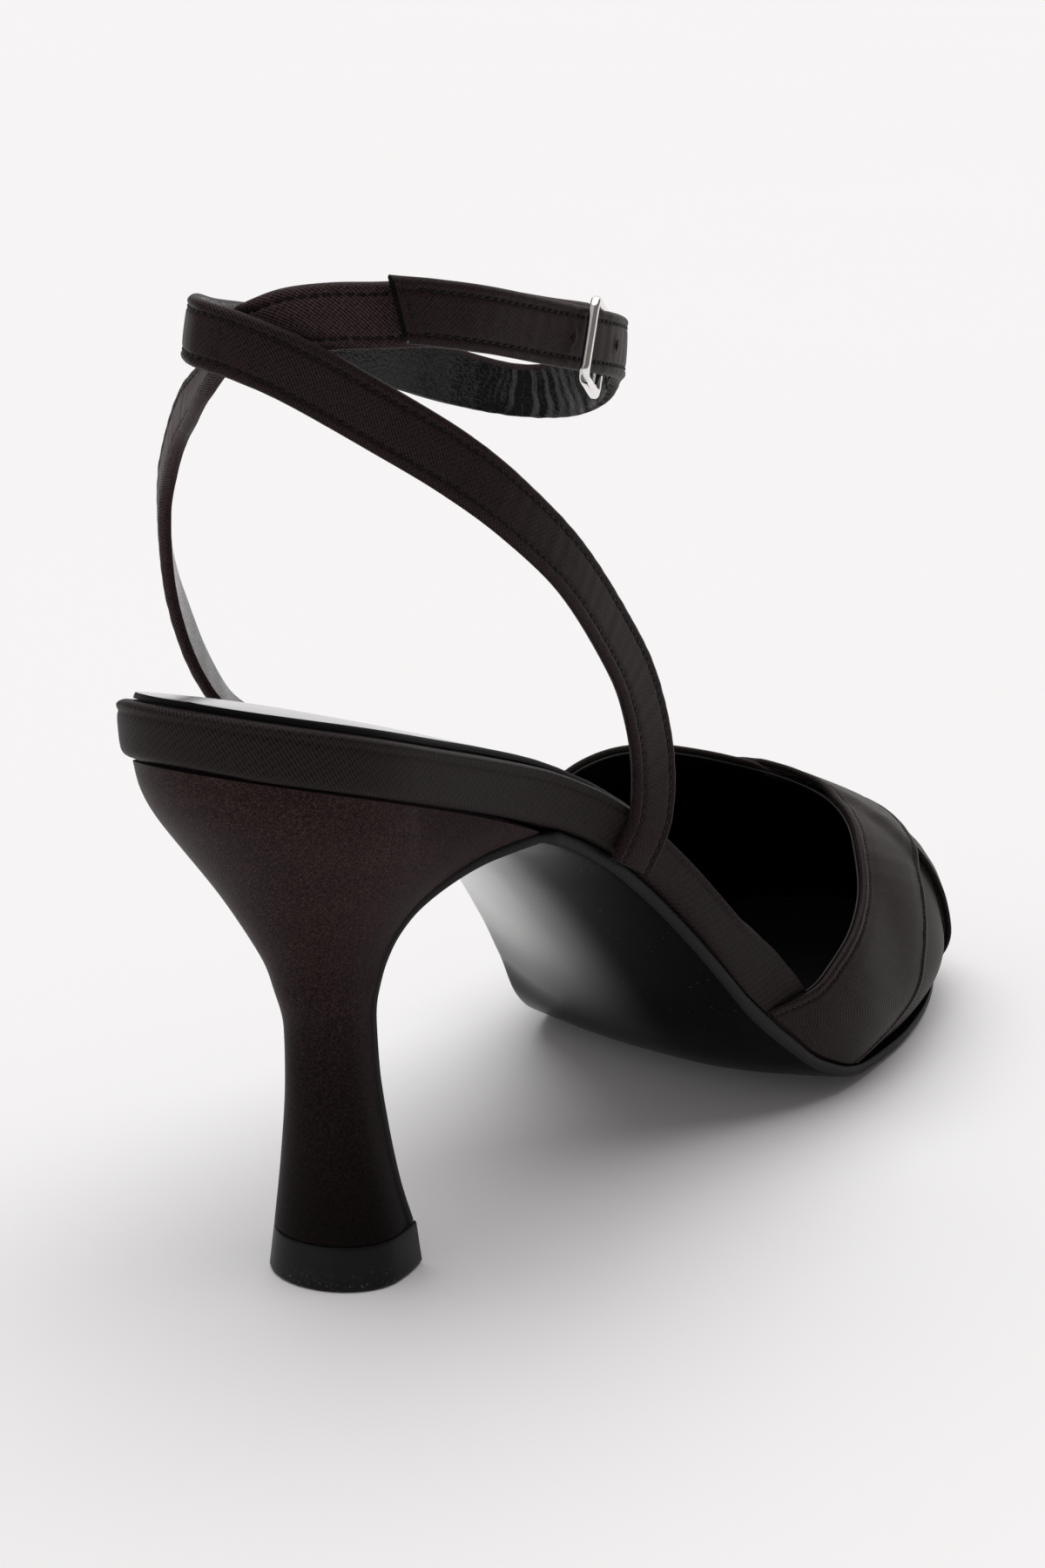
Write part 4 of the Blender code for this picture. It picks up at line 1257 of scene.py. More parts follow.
@dataclass
class Vamp:
    """Hollow upper and the two wide bands that cross over it."""

    last: Last
    feather_lift: float = 0.25
    toe_inset: float = 2.6
    ridge_shift: float = -6.0
    box_start: float = 205.0
    box_fullness: float = 2.6
    tuck_share: float = 0.28
    rim_outer: float = -0.30
    rim_inner: float = 0.10
    rim_roll: float = 0.2
    rim_run: float = 7.0
    across_count: int = 121
    along_count: int = 61
    band_count: int = 181
    edge_round: float = 0.62
    seam_wide: float = 0.34
    stitch_sink: float = 0.16
    band_gap: float = 0.45
    band_thick: float = 1.2
    band_step: float = 0.95
    band_sink: float = 0.85
    band_flat: float = 4.5
    band_ramp: float = 7.0
    seam_rear: float = 2.0
    seam_front: float = 1.9
    sink_rear: float = 0.26
    sink_front: float = 0.22
    roll: float = 0.16
    puff: float = 0.10
    wave: float = 0.07
    hem: Sequence[float] = (0.0, 0.03, 0.1, 0.22, 0.4, 0.62, 0.9, 1.25, 1.6, 1.9, 2.15, 2.4, 2.65, 2.95,
                            3.4, 4.0)
    stitching: Stitching = Stitching(pitch=1.15, reach=0.80, thick=0.26)
    section: Table = Table("s ridge swell fullness", (
        (128.0, 69.5, 2.4, 2.3),
        (140.0, 64.5, 4.2, 2.3),
        (152.0, 59.8, 5.2, 2.3),
        (165.0, 54.3, 5.6, 2.3),
        (178.0, 49.0, 5.8, 2.4),
        (190.0, 44.0, 5.4, 2.5),
        (202.0, 38.8, 4.6, 2.6),
        (214.0, 33.2, 3.8, 2.7),
        (231.0, 25.0, 3.0, 2.7),
    ))
    throat: Table = Table("v rim", (
        (0.00, 127.6), (0.04, 135.2), (0.09, 143.2), (0.14, 152.6), (0.19, 161.8), (0.25, 170.0),
        (0.30, 176.4), (0.36, 182.0), (0.42, 184.4), (0.47, 183.6), (0.54, 176.8), (0.60, 167.0),
        (0.67, 158.4), (0.74, 151.0), (0.82, 145.4), (0.91, 139.4), (1.00, 133.0),
    ))
    right_edges: Table = Table("v rear front", (
        (0.00, 127.6, 158.0), (0.04, 135.2, 173.0), (0.09, 143.2, 180.6), (0.14, 152.6, 186.0),
        (0.19, 161.8, 191.0), (0.25, 170.0, 198.0), (0.30, 176.4, 203.0), (0.36, 182.0, 207.4),
        (0.42, 184.4, 211.0), (0.45, 184.2, 212.7), (0.475, 184.4, 214.0), (0.50, 188.0, 215.2),
        (0.60, 199.0, 219.0), (0.80, 207.0, 222.8), (1.00, 211.0, 224.6),
    ))
    left_edges: Table = Table("v rear front", (
        (0.00, 209.0, 224.0), (0.13, 205.0, 222.0), (0.25, 200.0, 219.0), (0.36, 192.6, 215.6),
        (0.47, 183.6, 211.6), (0.54, 176.8, 207.0), (0.60, 167.0, 202.0), (0.67, 158.4, 196.4),
        (0.74, 151.0, 190.4), (0.82, 145.4, 184.0), (0.91, 139.4, 177.0), (1.00, 133.0, 166.0),
    ))

    def point(self, s: Values, v: Values, inset: Values) -> Array:
        """Points on the vamp.

        Args:
            s: Sections along the shoe.
            v: Shares across it, from the right feather over the ridge to the left.
            inset: Depths sunk inwards.

        Returns:
            Points of shape (..., 3).
        """
        last = self.last
        s, v, inset = np.broadcast_arrays(*(np.asarray(a, dtype=float) for a in (s, v, inset)))
        side = np.where(v < 0.5, 1.0, -1.0)
        angle = math.pi * np.clip(v, 0.0, 1.0)
        toe = last.length - self.toe_inset - inset
        round_off = last.end_round(s, toe)
        foot = last.half_width(s, side, toe) - (last.feather_inset + inset) * round_off
        swell = self.section("swell", s) * round_off
        box = closing(s - self.box_start, toe - self.box_start, self.box_fullness)
        feather = last.point(s, side * foot, self.feather_lift)[..., 2]
        height = (self.section("ridge", s) - inset - feather) * box
        ridge = self.ridge_shift * round_off
        power = 2.0 / self.section("fullness", s)
        across = np.abs(np.cos(angle)) ** power
        up = height * np.maximum(np.sin(angle), 0.0) ** power
        reach = foot + swell - side * ridge
        tuck = np.maximum(1.0 - up / np.maximum(self.tuck_share * height, 0.001), 0.0)
        x = ridge + side * reach * across - side * swell * tuck * tuck
        return np.stack((last.outline("middle", s) + x, s - last.bed("skew", s) * x, feather + up), axis=-1)

    def look(self, s: Array, v: Array, inset: Array) -> Array:
        """Outward directions on the vamp.

        Args:
            s: Sections along the shoe.
            v: Shares across it.
            inset: Depths sunk inwards.

        Returns:
            Unit directions.
        """
        step, share = 0.3, 0.003
        run = self.point(s + step, v, inset) - self.point(s - step, v, inset)
        before, after = np.maximum(v - share, 0.0), np.minimum(v + share, 1.0)
        turn = self.point(s, after, inset) - self.point(s, before, inset)
        return unit(np.cross(turn, run)) * -1.0

    def _sheet(self, across: Array, along: Array, inset: float, edge: float) -> Array:
        """One face of the hollow wall.

        Args:
            across: Shares across the vamp.
            along: Shares from the throat to the toe.
            inset: Depth of the face.
            edge: Its depth at the throat's rim.

        Returns:
            Points of shape (along, across, 3).
        """
        rim = self.throat("rim", across)[None, :]
        toe = self.last.length - self.toe_inset - inset - 0.004
        s = rim * (1.0 - along[:, None]) + toe * along[:, None]
        return self.point(s, across[None, :], edge + (inset - edge) * smooth(0.0, self.rim_run, s - rim))

    def upper(self) -> bpy.types.Object:
        """Make the hollow wall with its lining.

        Returns:
            The piece.
        """
        across = crowded(self.across_count)
        along = 1.0 - (1.0 - np.linspace(0.0, 1.0, self.along_count)) ** 2.0
        outer = self._sheet(across, along, 0.0, self.rim_outer)
        inner = self._sheet(across, along, self.last.wall, self.rim_inner)
        ridge = len(across) // 2
        lay = sheet_lay(run_lengths(outer[:, ridge])[:, None], run_lengths(outer[len(along) // 3])[None, :])
        skin = Skin()
        skin.grid(outer, lay, 0)
        skin.grid(inner, lay, 1)
        turn = np.linspace(0.0, math.pi, 7)
        depth = self.rim_outer + (self.rim_inner - self.rim_outer) * 0.5 * (1.0 - np.cos(turn))[:, None]
        rim = self.throat("rim", across)[None, :]
        edge = self.point(rim - self.rim_roll * np.sin(turn)[:, None], across[None, :], depth)
        edge[0], edge[-1] = outer[0], inner[0]
        skin.grid(edge, np.broadcast_to(lay[:1], (len(turn), *lay.shape[1:])), 2)
        for column in (0, -1):
            strip = np.stack((outer[:, column], inner[:, column]), axis=1)
            skin.grid(strip, np.stack((lay[:, column], lay[:, column]), axis=1), 1)
        for finish, grid in enumerate((outer, inner)):
            tips = (grid[-1], lay[-1])
            lid, flat = (np.stack((tip[:ridge + 1], tip[:ridge - 1:-1]), axis=1) for tip in tips)
            skin.grid(lid, flat, finish)
        toe = np.stack((np.stack((outer[-1, 0], inner[-1, 0])), np.stack((outer[-1, -1], inner[-1, -1]))))
        skin.grid(toe, np.zeros((2, 2, 2)), 1)
        lining = Leather("vamp_lining", (0.0016, 0.0016, 0.0017), (0.0040, 0.0039, 0.0039), rough=0.62,
                         gloss=0.08)
        rim_edge = Leather("rim_edge", (0.010, 0.010, 0.010), (0.040, 0.039, 0.039), grain=1800.0, rough=0.5,
                           gloss=0.2)
        return skin.build("upper_lined", [Satin("upper_satin"), lining, rim_edge])

    def lift(self, s: Array, v: Array) -> Array:
        """Extra height of the right band where it passes over the left one."""
        outside = np.maximum(self.left_edges("rear", v) - s, s - self.left_edges("front", v))
        return self.band_step * (1.0 - smooth(self.band_flat, self.band_flat + self.band_ramp, outside))

    def sunk(self, s: Array, v: Array) -> Array:
        """Depth that the left band is pressed in by where the right one covers it."""
        inside = np.minimum(s - self.right_edges("rear", v), self.right_edges("front", v) - s)
        return self.band_sink * smooth(-2.5, 1.5, inside)

    def _pace(self, s: Array, v: Array, inset: float) -> Array:
        """Millimetres square to an edge for each unit of s.

        Args:
            s: Sections of the edge along the shoe.
            v: Shares across it.
            inset: Depth sunk inwards.

        Returns:
            One pace for each place.
        """
        line = self.point(s, v, inset)
        run = unit(np.gradient(line, axis=0))
        step = self.point(s + 0.5, v, inset) - self.point(s - 0.5, v, inset)
        return np.linalg.norm(step - run * np.sum(step * run, axis=-1, keepdims=True), axis=-1)

    def band(self, side: Side) -> tuple[bpy.types.Object, bpy.types.Object]:
        """Make one band and its two rows of stitches.

        Args:
            side: Foot of the band that is named.

        Returns:
            The band and its stitching.
        """
        edges = self.right_edges if side is Side.RIGHT else self.left_edges
        v = crowded(self.band_count)
        rear, front = edges("rear", v), edges("front", v)
        inset = -self.band_gap - self.band_thick
        pace_rear, pace_front = self._pace(rear, v, inset), self._pace(front, v, inset)
        rim = np.array(self.hem)
        near = rear[:, None] + rim[None, :] / pace_rear[:, None]
        far = front[:, None] - rim[None, ::-1] / pace_front[:, None]
        share = np.linspace(0.0, 1.0, 16)[None, 1:-1]
        mid = near[:, -1:] * (1.0 - share) + far[:, :1] * share
        s = np.concatenate((near, mid, far), axis=1)
        beyond = 9.0
        from_rear = np.full(s.shape, beyond)
        from_rear[:, :len(rim)] = rim
        from_front = from_rear[:, ::-1]
        away = np.minimum(from_rear, from_front)
        wide = np.broadcast_to(v[:, None], s.shape)
        lift = self.lift(s, wide) if side is Side.RIGHT else -self.sunk(s, wide)
        half = self.band_thick * 0.5
        edge = rounded(away, self.edge_round)
        roll = self.roll * bump(away, 1.1, 0.7)
        seam = -self.sink_rear * bump(from_rear, self.seam_rear, self.seam_wide)
        seam = seam - self.sink_front * bump(from_front, self.seam_front, self.seam_wide)
        run = run_lengths(self.point(rear, v, inset))[:, None]
        wave = self.wave * ripple(run + 0.4 * s, 6.5, side.value)
        puff = self.puff * smooth(2.6, 6.0, away) + wave * smooth(0.0, 2.0, away)
        middle = -self.band_gap - lift - half
        outer = self.point(s, wide, middle - half * edge - (roll + seam + puff) * edge)
        inner = self.point(s, wide, middle + half * edge)
        loop = np.concatenate((outer, inner[:, -2:0:-1]), axis=1)
        third = len(v) // 3
        across = run_lengths(outer[third])
        back = across[-1] + run_lengths(inner[third, ::-1])[1:]
        around = np.concatenate((across, back))
        lay = sheet_lay(run, around[None, :])
        skin = Skin()
        skin.loft(loop, lay)
        label = side.label
        finish = Satin("band_%s_satin" % label, (0.0045, 0.0029, 0.0029), (0.040, 0.026, 0.026), slant=0.75,
                       gloss=0.06, weave_glint_contrast=0.7, sheen=0.20)
        made = skin.build("vamp_band_%s_sewn" % label, [finish])
        rows = Skin()
        hems = ((1.0, rear, pace_rear, self.seam_rear), (-1.0, front, pace_front, self.seam_front))
        for sign, base, pace, seam_at in hems:
            line = base + sign * seam_at / pace
            raised = self.lift(line, v) if side is Side.RIGHT else -self.sunk(line, v)
            depth = -self.band_gap - raised - self.band_thick + self.stitch_sink
            self.stitching.sew(rows, self.point(line, v, depth), self.look(line, v, depth))
        sewn = rows.build("vamp_band_%s_stitches" % label, [Thread("band_%s_thread" % label)])
        return made, sewn

    def dress(self) -> None:
        """Make the pieces and hand them to the frame."""
        piece(self.upper(), "upper_satin", "upper")
        for side in Side:
            label = side.label
            made, sewn = self.band(side)
            piece(made, "band_%s_satin" % label, "vamp_band_" + label)
            piece(sewn, "band_%s_satin" % label)


@dataclass
class AnkleStrap:
    """One sewn strap: satin outside, leather inside, two rows of stitches."""

    side: Side
    path: Table
    slant: float = 0.0
    foot: float = 0.0
    wide: float = 9.6
    thick: float = 1.8
    seam: float = 1.7
    pitch: float = 0.55
    holes: Sequence[float] = ()
    folds: Sequence[float] = (0.0, 0.0)
    tip_run: float = 8.0
    foot_run: float = 16.0
    wrinkle: float = 0.16
    crease: float = 0.42
    pucker: float = 0.05
    outer_round: float = 0.8
    inner_round: float = 0.6
    crown: float = 0.24
    roll: float = 0.12
    seam_sink: float = 0.30
    seam_wide: float = 0.32
    hem: Sequence[float] = (0.0, 0.03, 0.12, 0.28, 0.5, 0.8, 1.1, 1.4, 1.55, 1.7, 1.85, 2.05, 2.4)
    stitching: Stitching = Stitching()

    def middle(self, row: Array) -> Array:
        """Points of the middle line at rows of the path."""
        return np.stack([self.path(axis, row) for axis in "xyz"], axis=-1)

    def frame(self, row: Array) -> tuple[Array, Array, Array, Array]:
        """Axes of the strap.

        Args:
            row: Rows of its path.

        Returns:
            Middle points, then run, width and outward directions.
        """
        step = 0.05
        spot = self.middle(row)
        run = unit(self.middle(row + step) - self.middle(row - step))
        turn, lean = np.radians(self.path("facing", row)), np.radians(self.path("lean", row))
        look = np.stack((np.cos(turn) * np.cos(lean), np.sin(turn) * np.cos(lean), np.sin(lean)), axis=-1)
        look = unit(look - run * np.sum(look * run, axis=-1, keepdims=True))
        return spot, run, np.cross(look, run), look

    def rows(self, pitch: float) -> tuple[Array, Array]:
        """Rows spaced along the strap at an even pitch, and closer at its holes.

        Args:
            pitch: Millimetres between rows.

        Returns:
            The rows and their lengths along the strap.
        """
        fine = np.linspace(0.0, self.path.key[-1], 3000)
        run = run_lengths(self.middle(fine))
        lengths = np.linspace(0.0, run[-1], int(run[-1] / pitch) + 1)
        around = [np.interp(hole, fine, run) + np.linspace(-1.2, 1.2, 17) for hole in self.holes]
        lengths = np.unique(np.round(np.concatenate((lengths, *around)), 3))
        return np.interp(lengths, run, fine), lengths

    def outer(self, across: Array) -> Array:
        """Height of the outer face over the strap's middle.

        Args:
            across: Places across the strap.

        Returns:
            The heights.
        """
        half = self.wide * 0.5
        away = half - np.abs(across)
        edge = rounded(away, self.outer_round)
        crown = self.crown * (1.0 - (across / half) ** 2) + self.roll * bump(away, 0.85, 0.5)
        return edge * (self.thick * 0.5 + crown - self.seam_sink * bump(away, self.seam, self.seam_wide))

    def inner(self, across: Array) -> Array:
        """Height of the inner face, which lies under the strap's middle.

        Args:
            across: Places across the strap.

        Returns:
            The heights.
        """
        away = self.wide * 0.5 - np.abs(across)
        edge = rounded(away, self.inner_round)
        return -edge * self.thick * 0.5

    def shear(self, lengths: Array) -> Array:
        """Run-ahead for each millimetre across, at lengths along the strap."""
        half, total = self.wide * 0.5, lengths[-1]
        return self.slant / half * np.clip(1.0 - (total - lengths) / self.tip_run, 0.0, 1.0)

    def foot_cut(self, lengths: Array) -> Array:
        """Run-ahead at the foot for each millimetre from the front edge, at lengths along the strap."""
        return self.foot / self.wide * np.clip(1.0 - lengths / self.foot_run, 0.0, 1.0)

    def strap(self) -> bpy.types.Object:
        """Make the strap.

        Returns:
            The piece.
        """
        rows, lengths = self.rows(self.pitch)
        spot, run, wide, look = self.frame(rows)
        half = self.wide * 0.5
        face = np.concatenate((np.array(self.hem) - half, np.linspace(2.9 - half, 0.0, 6)))
        face = np.concatenate((face, -face[-2::-1]))
        back = np.linspace(half - 0.02, -half + 0.02, 21) * (1.0 - 1e-6)
        across = np.concatenate((face, back))
        count = len(face)
        level = np.concatenate((self.outer(face), self.inner(back)))
        seed = self.side.value
        crumple = np.full_like(lengths, 0.4)
        if self.side is Side.RIGHT:
            crumple = smooth(0.55, 0.75, lengths / lengths[-1])
        wrinkle = self.wrinkle * ripple(lengths, 5.2, seed)[:, None] * crumple[:, None]
        wrinkle = wrinkle * np.concatenate((np.zeros(count), 1.0 - (back / half) ** 2))[None, :]
        start, end = self.folds
        folded = (smooth(start, start + 1.2, rows) * (1.0 - smooth(end - 1.0, end, rows)))[:, None]
        slewed = lengths[:, None] + 0.5 * ripple(back, 5.0, seed)[None, :] + 0.18 * back[None, :]
        crease = self.crease * folded * ripple(slewed, 2.3, seed + 5.0)
        crease = crease * (0.35 + 0.65 * (1.0 - (back / half) ** 2))
        wrinkle[:, count:] += crease
        raised = np.concatenate((self.outer(face) > 0.2, 0.0 * back))
        pucker = self.pucker * ripple(lengths, 3.4, seed + 2.0)[:, None] * raised
        heights = level[None, :] + wrinkle + pucker
        for hole in self.holes:
            away = np.hypot(lengths[:, None] - np.interp(hole, rows, lengths), face[None, :])
            heights[:, :count] += 0.14 * bump(away, 0.95, 0.35) - 0.75 * bump(away, 0.0, 0.5)
        ahead = self.shear(lengths)[:, None] * across[None, :]
        ahead = ahead + self.foot_cut(lengths)[:, None] * (half - across)[None, :]
        body = (spot[:, None] + wide[:, None] * across[None, :, None] + look[:, None] * heights[..., None]
                + run[:, None] * ahead[..., None])
        back_lay, lay_end = 20.0, 32.0
        face_run = run_lengths(np.column_stack((face, self.outer(face))))
        back_run = run_lengths(np.column_stack((back, self.inner(back))))
        around = np.concatenate((face_run, back_lay + back_run, (lay_end,)))
        lay = sheet_lay(lengths[:, None], around[None, :])
        finish = np.zeros(len(across), dtype=int)
        finish[count + 1:-2] = 1
        skin = Skin()
        skin.loft(body, lay, np.broadcast_to(finish, (len(rows) - 1, len(across))), 1)
        label = self.side.label
        # The left strap's paler colour is a painted highlight: it is the same satin as the right strap, drawn
        # lighter where it catches more light.
        pale = (0.033, 0.020, 0.020) if self.side is Side.RIGHT else (0.066, 0.041, 0.042)
        satin = Satin("strap_%s_satin" % label, pale=pale, slant=0.85, depth=0.04, weave_glint_contrast=1.1, sheen=0.10)
        lining = Leather("strap_%s_lining" % label, rough=0.20, gloss=0.32, depth=0.05, grain=1000.0)
        return skin.build("ankle_strap_%s_sewn" % label, [satin, lining])

    def stitches(self) -> bpy.types.Object:
        """Make the rows of stitches along both edges and, on a free end, across the tip.

        Returns:
            The piece.
        """
        rows, lengths = self.rows(0.4)
        spot, run, wide, look = self.frame(rows)
        skin = Skin()
        keep = lengths < lengths[-1] - (2.0 if self.slant else 0.6)
        across = self.wide * 0.5 - self.seam
        lift = float(self.outer(np.array([across]))[0]) + 0.05
        tilt = self.shear(lengths)[:, None]
        for sign in (1.0, -1.0):
            line = spot + (wide + run * tilt) * (sign * across) + look * lift
            line = line + run * (self.foot_cut(lengths) * (self.wide * 0.5 - sign * across))[:, None]
            self.stitching.sew(skin, line[keep], look[keep])
        if self.slant:
            place = int(np.searchsorted(lengths, lengths[-1] - 1.6))
            share = np.linspace(-across, across, 24)[:, None]
            height = self.outer(share[:, 0])[:, None]
            line = spot[place] + (wide[place] + run[place] * self.slant / (self.wide * 0.5)) * share
            line = line + look[place] * height
            self.stitching.sew(skin, line, np.broadcast_to(look[place], line.shape))
        label = self.side.label
        return skin.build("ankle_strap_%s_stitches" % label, [Thread("strap_%s_thread" % label)])

    def dress(self) -> None:
        """Make the pieces and hand them to the frame."""
        label = self.side.label
        slot = "strap_%s_satin" % label
        piece(self.strap(), slot, "ankle_strap_" + label)
        piece(self.stitches(), slot)


RIGHT_PATH = Table("row x y z facing lean", (
    (0, 26.5, 84.0, 58.8, -12.0, 0.0),
    (1, 27.9, 88.0, 66.3, -14.0, 0.0),
    (2, 28.9, 86.7, 77.0, -12.0, 0.0),
    (3, 30.6, 79.4, 89.6, -6.0, 0.0),
    (4, 31.7, 70.3, 100.0, 2.0, 0.0),
    (5, 32.3, 55.3, 114.5, 6.0, 0.0),
    (6, 30.4, 41.8, 125.7, -5.0, 2.0),
    (7, 26.4, 32.4, 133.5, -27.0, 4.0),
    (8, 20.2, 23.4, 140.6, -52.0, 6.0),
    (9, 12.6, 12.8, 148.5, -74.0, 8.0),
    (10, 5.4, 9.0, 152.0, -97.0, 9.0),
    (11, -2.7, 10.1, 153.2, -125.0, 10.0),
    (12, -11.9, 21.5, 151.9, -146.0, 8.0),
    (13, -19.8, 36.7, 148.6, -154.0, 6.0),
    (14, -26.0, 54.0, 145.2, -166.0, 4.0),
    (15, -28.0, 68.0, 142.2, -182.0, 2.0),
    (16, -26.2, 79.7, 139.4, -202.0, 0.0),
    (17, -22.2, 89.2, 136.8, -220.0, 0.0),
    (18, -15.4, 96.9, 133.2, -236.0, 10.0),
    (19, -7.0, 102.0, 131.0, -256.0, 17.0),
    (20, 2.0, 102.6, 131.7, -278.0, 17.0),
    (21, 10.4, 99.4, 135.2, -300.0, 10.0),
    (22, 17.2, 93.6, 139.9, -322.0, 0.0),
    (23, 22.4, 86.6, 142.4, -340.0, 0.0),
    (24, 26.4, 78.6, 144.3, -353.0, 0.0),
    (25, 28.9, 69.4, 146.4, -364.0, 0.0),
    (26, 30.0, 55.0, 149.7, -374.0, 0.0),
    (27, 28.8, 37.5, 154.0, -388.0, 0.0),
    (28, 25.9, 28.2, 156.0, -401.0, 0.0),
    (29, 22.9, 23.1, 156.9, -410.0, 0.0),
), rounded=True)
LEFT_PATH = Table("row x y z facing lean", (
    (0, -25.2, 72.0, 67.0, -166.0, -6.0),
    (1, -26.6, 62.0, 76.0, -158.0, -24.0),
    (2, -28.5, 52.2, 84.5, -150.0, -40.0),
    (3, -30.7, 47.5, 91.9, -152.0, -25.0),
    (4, -32.1, 44.3, 100.2, -151.0, -14.0),
    (5, -32.3, 40.9, 110.1, -144.0, -6.0),
    (6, -29.1, 36.2, 122.0, -140.5, 3.0),
    (7, -24.4, 32.2, 130.4, -140.6, 5.9),
    (8, -18.8, 27.8, 137.0, -142.0, 8.2),
    (9, -12.6, 22.8, 141.4, -137.6, 17.5),
    (10, -5.1, 17.1, 146.6, -132.6, 30.5),
    (11, 0.8, 13.7, 152.0, -118.4, 26.6),
    (12, 5.4, 13.0, 153.4, -82.0, 8.0),
    (13, 9.8, 14.9, 155.2, -68.0, 8.0),
    (14, 14.4, 18.8, 155.8, -56.0, 6.0),
    (15, 18.4, 23.8, 155.6, -47.0, 3.0),
    (16, 23.2, 31.2, 155.2, -38.0, 1.0),
    (17, 26.2, 40.4, 153.4, -26.0, 0.0),
    (18, 27.5, 55.4, 150.1, -14.0, 0.0),
    (19, 27.2, 63.0, 148.6, -8.0, 0.0),
    (20, 26.7, 68.0, 147.6, -4.0, 0.0),
), rounded=True)


@dataclass
class Buckle:
    """Rectangular wire frame: one bar over the strap, the other under it."""

    strap: AnkleStrap
    row: float = 25.13
    height: float = 13.4
    span: float = 16.0
    wire: float = 1.7
    depth: float = 1.5
    corner: float = 1.7
    lift: float = 2.2
    skew: float = 8.0
    drop: float = 1.0
    corner_count: int = 9
    sides: int = 24
    squareness: float = 0.7

    def ring(self) -> bpy.types.Object:
        """Make the frame.

        Returns:
            The piece.
        """
        spot, run, wide, look = (a[0] for a in self.strap.frame(np.array([self.row])))
        tilt = math.atan2(self.lift, self.span * 0.5)
        level_run = run * math.cos(tilt) + look * math.sin(tilt)
        out = look * math.cos(tilt) - run * math.sin(tilt)
        skew = math.radians(self.skew)
        spot = spot + wide * self.drop
        along = level_run * math.cos(skew) - wide * math.sin(skew)
        wide = wide * math.cos(skew) + level_run * math.sin(skew)
        reach_run, reach_wide = self.span * 0.5 / math.cos(tilt), (self.height - self.wire) * 0.5
        line, away = [], []
        for quarter in range(4):
            sign_run = 1.0 if quarter in (0, 3) else -1.0
            sign_wide = 1.0 if quarter in (0, 1) else -1.0
            for angle in np.linspace(0.0, math.pi / 2.0, self.corner_count) + math.pi / 2.0 * quarter:
                a = sign_run * (reach_run - self.corner) + self.corner * math.cos(angle)
                b = sign_wide * (reach_wide - self.corner) + self.corner * math.sin(angle)
                line.append((a, b))
                away.append((math.cos(angle), math.sin(angle)))
        flat, away = np.array(line), np.array(away)
        turns = np.linspace(0.0, 2.0 * math.pi, self.sides + 1)[:-1]
        cosine, sine = np.cos(turns), np.sin(turns)
        grow = np.sign(cosine) * np.abs(cosine) ** self.squareness * self.wire * 0.5
        level = np.sign(sine) * np.abs(sine) ** self.squareness * self.depth * 0.5
        plan = flat[:, None] + away[:, None] * grow[None, :, None]
        body = spot + plan[..., :1] * along + plan[..., 1:] * wide + level[None, :, None] * out
        body = np.concatenate((body, body[:1]))
        girth = 4.2
        around = np.linspace(0.0, girth, self.sides + 1)
        lay = sheet_lay(run_lengths(body[:, 0])[:, None], around[None, :])
        skin = Skin()
        skin.grid(body, lay, 0, ring=True)
        return skin.build("buckle_plated", [Chrome("buckle_plate")], 60.0)

    def dress(self) -> None:
        """Make the piece and hand it to the frame."""
        piece(self.ring(), "buckle_chrome", "buckle_frame")


@dataclass(frozen=True)
class FloorPaper(Finish):
    """Matt pale paper, a little uneven."""

    tone: float = 0.90
    unevenness: float = 0.006

    def paint(self, tree: Tree) -> bpy.types.Material:
        """Paint the finish.

        Args:
            tree: Its empty node tree.

        Returns:
            The material.
        """
        low, high = ((self.tone + sign * self.unevenness,) * 3 for sign in (-1.0, 1.0))
        colour = tree.blend(tree.noise(3.0, 2.0, 0.5), low, high)
        return tree.dress(Base_Color=colour, Roughness=0.9, Specular_IOR_Level=0.0)


@dataclass(frozen=True)
class Lamp:
    """One wide soft lamp."""

    name: str
    power: float
    angle: float
    origin: tuple[float, float, float]
    shadow: bool = True


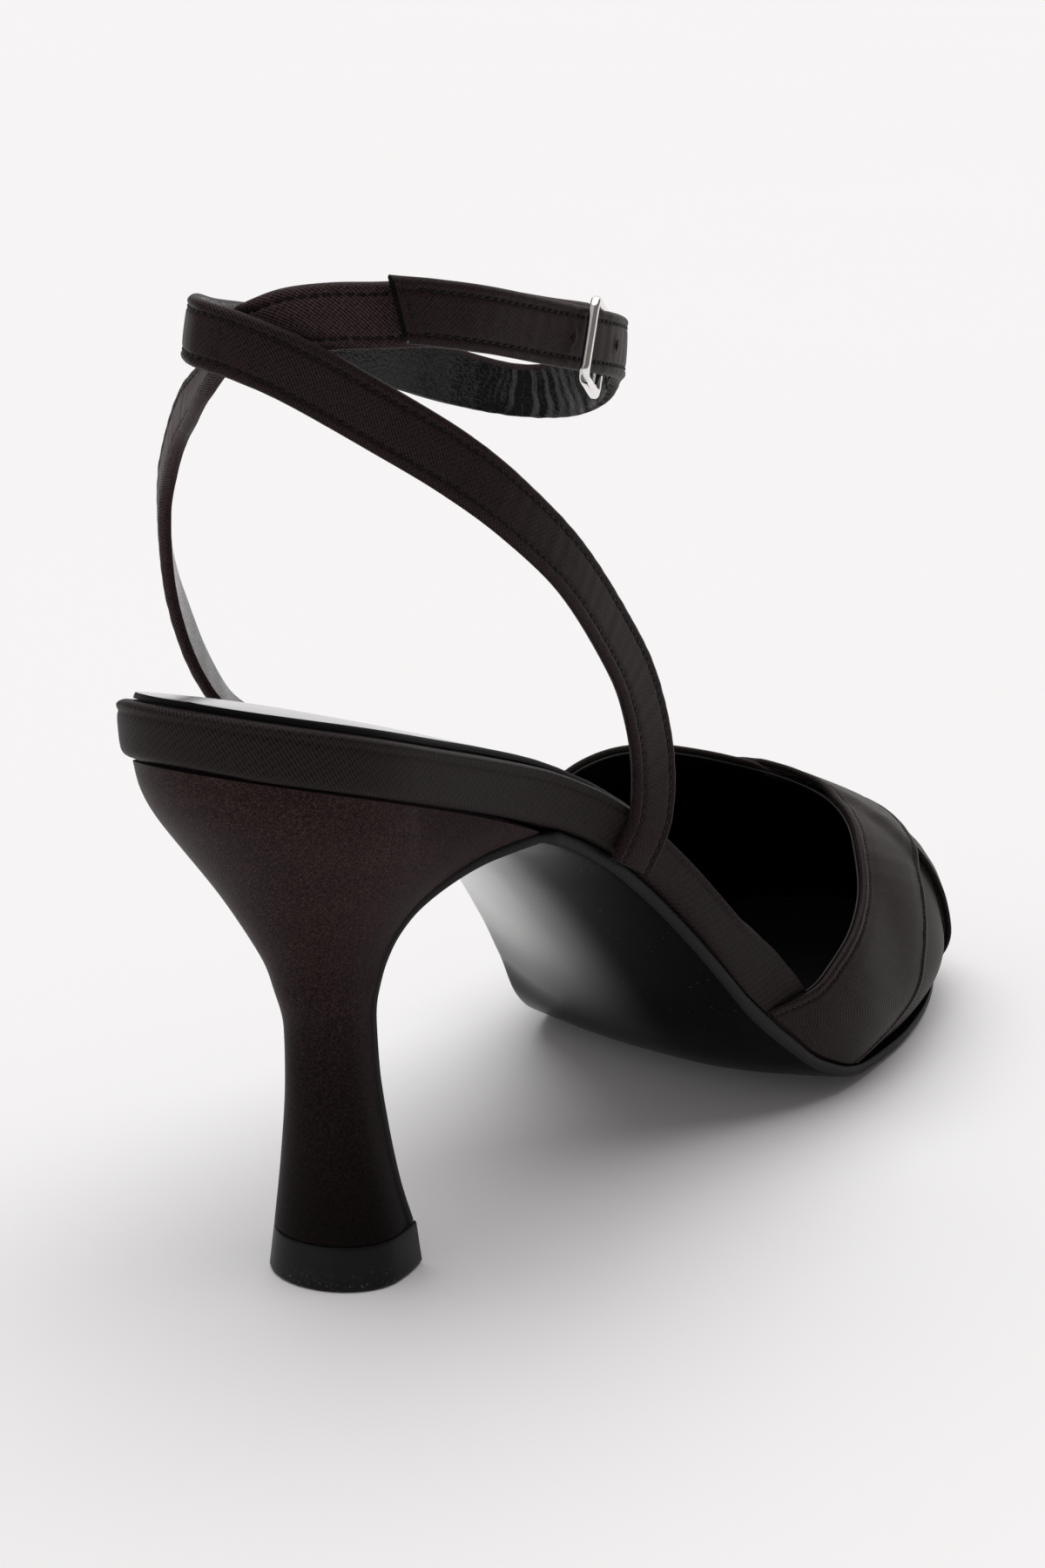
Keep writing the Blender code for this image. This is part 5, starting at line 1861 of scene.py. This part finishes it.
@dataclass
class Studio:
    """Pale floor, soft light and the camera."""

    eye: tuple[float, float, float] = (0.3115, -0.5275, 0.2366)
    azimuth: float = 31.5
    elevation: float = 16.0
    lens: float = 85.0
    surround: float = 0.17
    surround_tint: tuple[float, float, float] = (1.0, 0.90, 0.89)
    lamps: Sequence[Lamp] = (
        Lamp("key", 2.22, 76.0, (-0.07, 0.15, 1.0)),
        Lamp("fill", 0.45, 80.0, (-0.55, -1.0, 0.85)),
        Lamp("rim", 0.60, 60.0, (-0.35, 1.0, 0.45), shadow=False),
    )

    def camera(self) -> None:
        """Set the camera at the photograph's angle."""
        turn, up = math.radians(self.azimuth), math.radians(self.elevation)
        back = (math.sin(turn) * math.cos(up), -math.cos(turn) * math.cos(up), math.sin(up))
        data = bpy.data.cameras.new("camera")
        data.lens = self.lens
        data.sensor_width = 36.0
        data.clip_start = 0.01
        made = bpy.data.objects.new("camera", data)
        made.matrix_world = self.facing(self.eye, back)
        bpy.context.scene.collection.objects.link(made)
        bpy.context.scene.camera = made

    def floor(self) -> None:
        """Lay the pale floor."""
        skin = Skin()
        reach, under = 6000.0, -0.02
        line = np.linspace(-reach, reach, 13)
        x, y = np.meshgrid(line, line, indexing="ij")
        points = np.stack((x, y, np.full_like(x, under)), axis=-1)
        skin.grid(points, points[..., :2])
        made = skin.build("floor", [FloorPaper("floor_pale")])

    @staticmethod
    def facing(spot: Sequence[float], back: Sequence[float]) -> Matrix:
        """Placing of something that looks away from a direction.

        Args:
            spot: Place in metres.
            back: Direction from what is looked at towards the spot.

        Returns:
            The matrix of its axes and place.
        """
        behind = unit(np.array(back, dtype=float))
        right = unit(np.cross((0.0, 0.0, 1.0), behind))
        basis = np.eye(4)
        basis[:3, :3] = np.column_stack((right, np.cross(behind, right), behind))
        basis[:3, 3] = spot
        return Matrix(basis.tolist())

    def sun(self, lamp: Lamp) -> None:
        """Set one wide soft lamp.

        Args:
            lamp: Its name, strength, span in the sky and the direction that its light comes from.
        """
        data = bpy.data.lights.new(lamp.name, "SUN")
        data.energy = lamp.power
        data.use_shadow = lamp.shadow
        data.angle = math.radians(lamp.angle)
        made = bpy.data.objects.new(lamp.name, data)
        made.matrix_world = self.facing((0.0, 0.0, 1.0), lamp.origin)
        bpy.context.scene.collection.objects.link(made)

    def light(self) -> None:
        """Set the even surround and the lamps."""
        world = bpy.data.worlds.new("surround")
        world.use_nodes = True
        shade = world.node_tree.nodes["Background"]
        shade.inputs["Color"].default_value = (*self.surround_tint, 1.0)
        shade.inputs["Strength"].default_value = self.surround
        bpy.context.scene.world = world
        for lamp in self.lamps:
            self.sun(lamp)
        bpy.context.scene.view_settings.view_transform = "Standard"

    def dress(self) -> None:
        """Set up the whole studio."""
        self.camera()
        self.floor()
        self.light()


def main() -> None:
    """Build every sub-assembly in order."""
    logging.basicConfig(level=logging.INFO, format="%(message)s")
    for spare in ("Cube", "Light", "Camera"):
        if spare in bpy.data.objects:
            bpy.data.objects.remove(bpy.data.objects[spare])
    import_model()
    last = Last()
    right = AnkleStrap(Side.RIGHT, RIGHT_PATH, slant=-2.2, holes=(24.6, 25.85), folds=(17.8, 23.6))
    left = AnkleStrap(Side.LEFT, LEFT_PATH, foot=9.0)
    Studio().dress()
    SoleUnit(last).dress()
    Footbed(last).dress()
    Vamp(last).dress()
    right.dress()
    left.dress()
    Buckle(right).dress()
    bpy.context.view_layer.update()


if __name__ == "__main__":
    main()
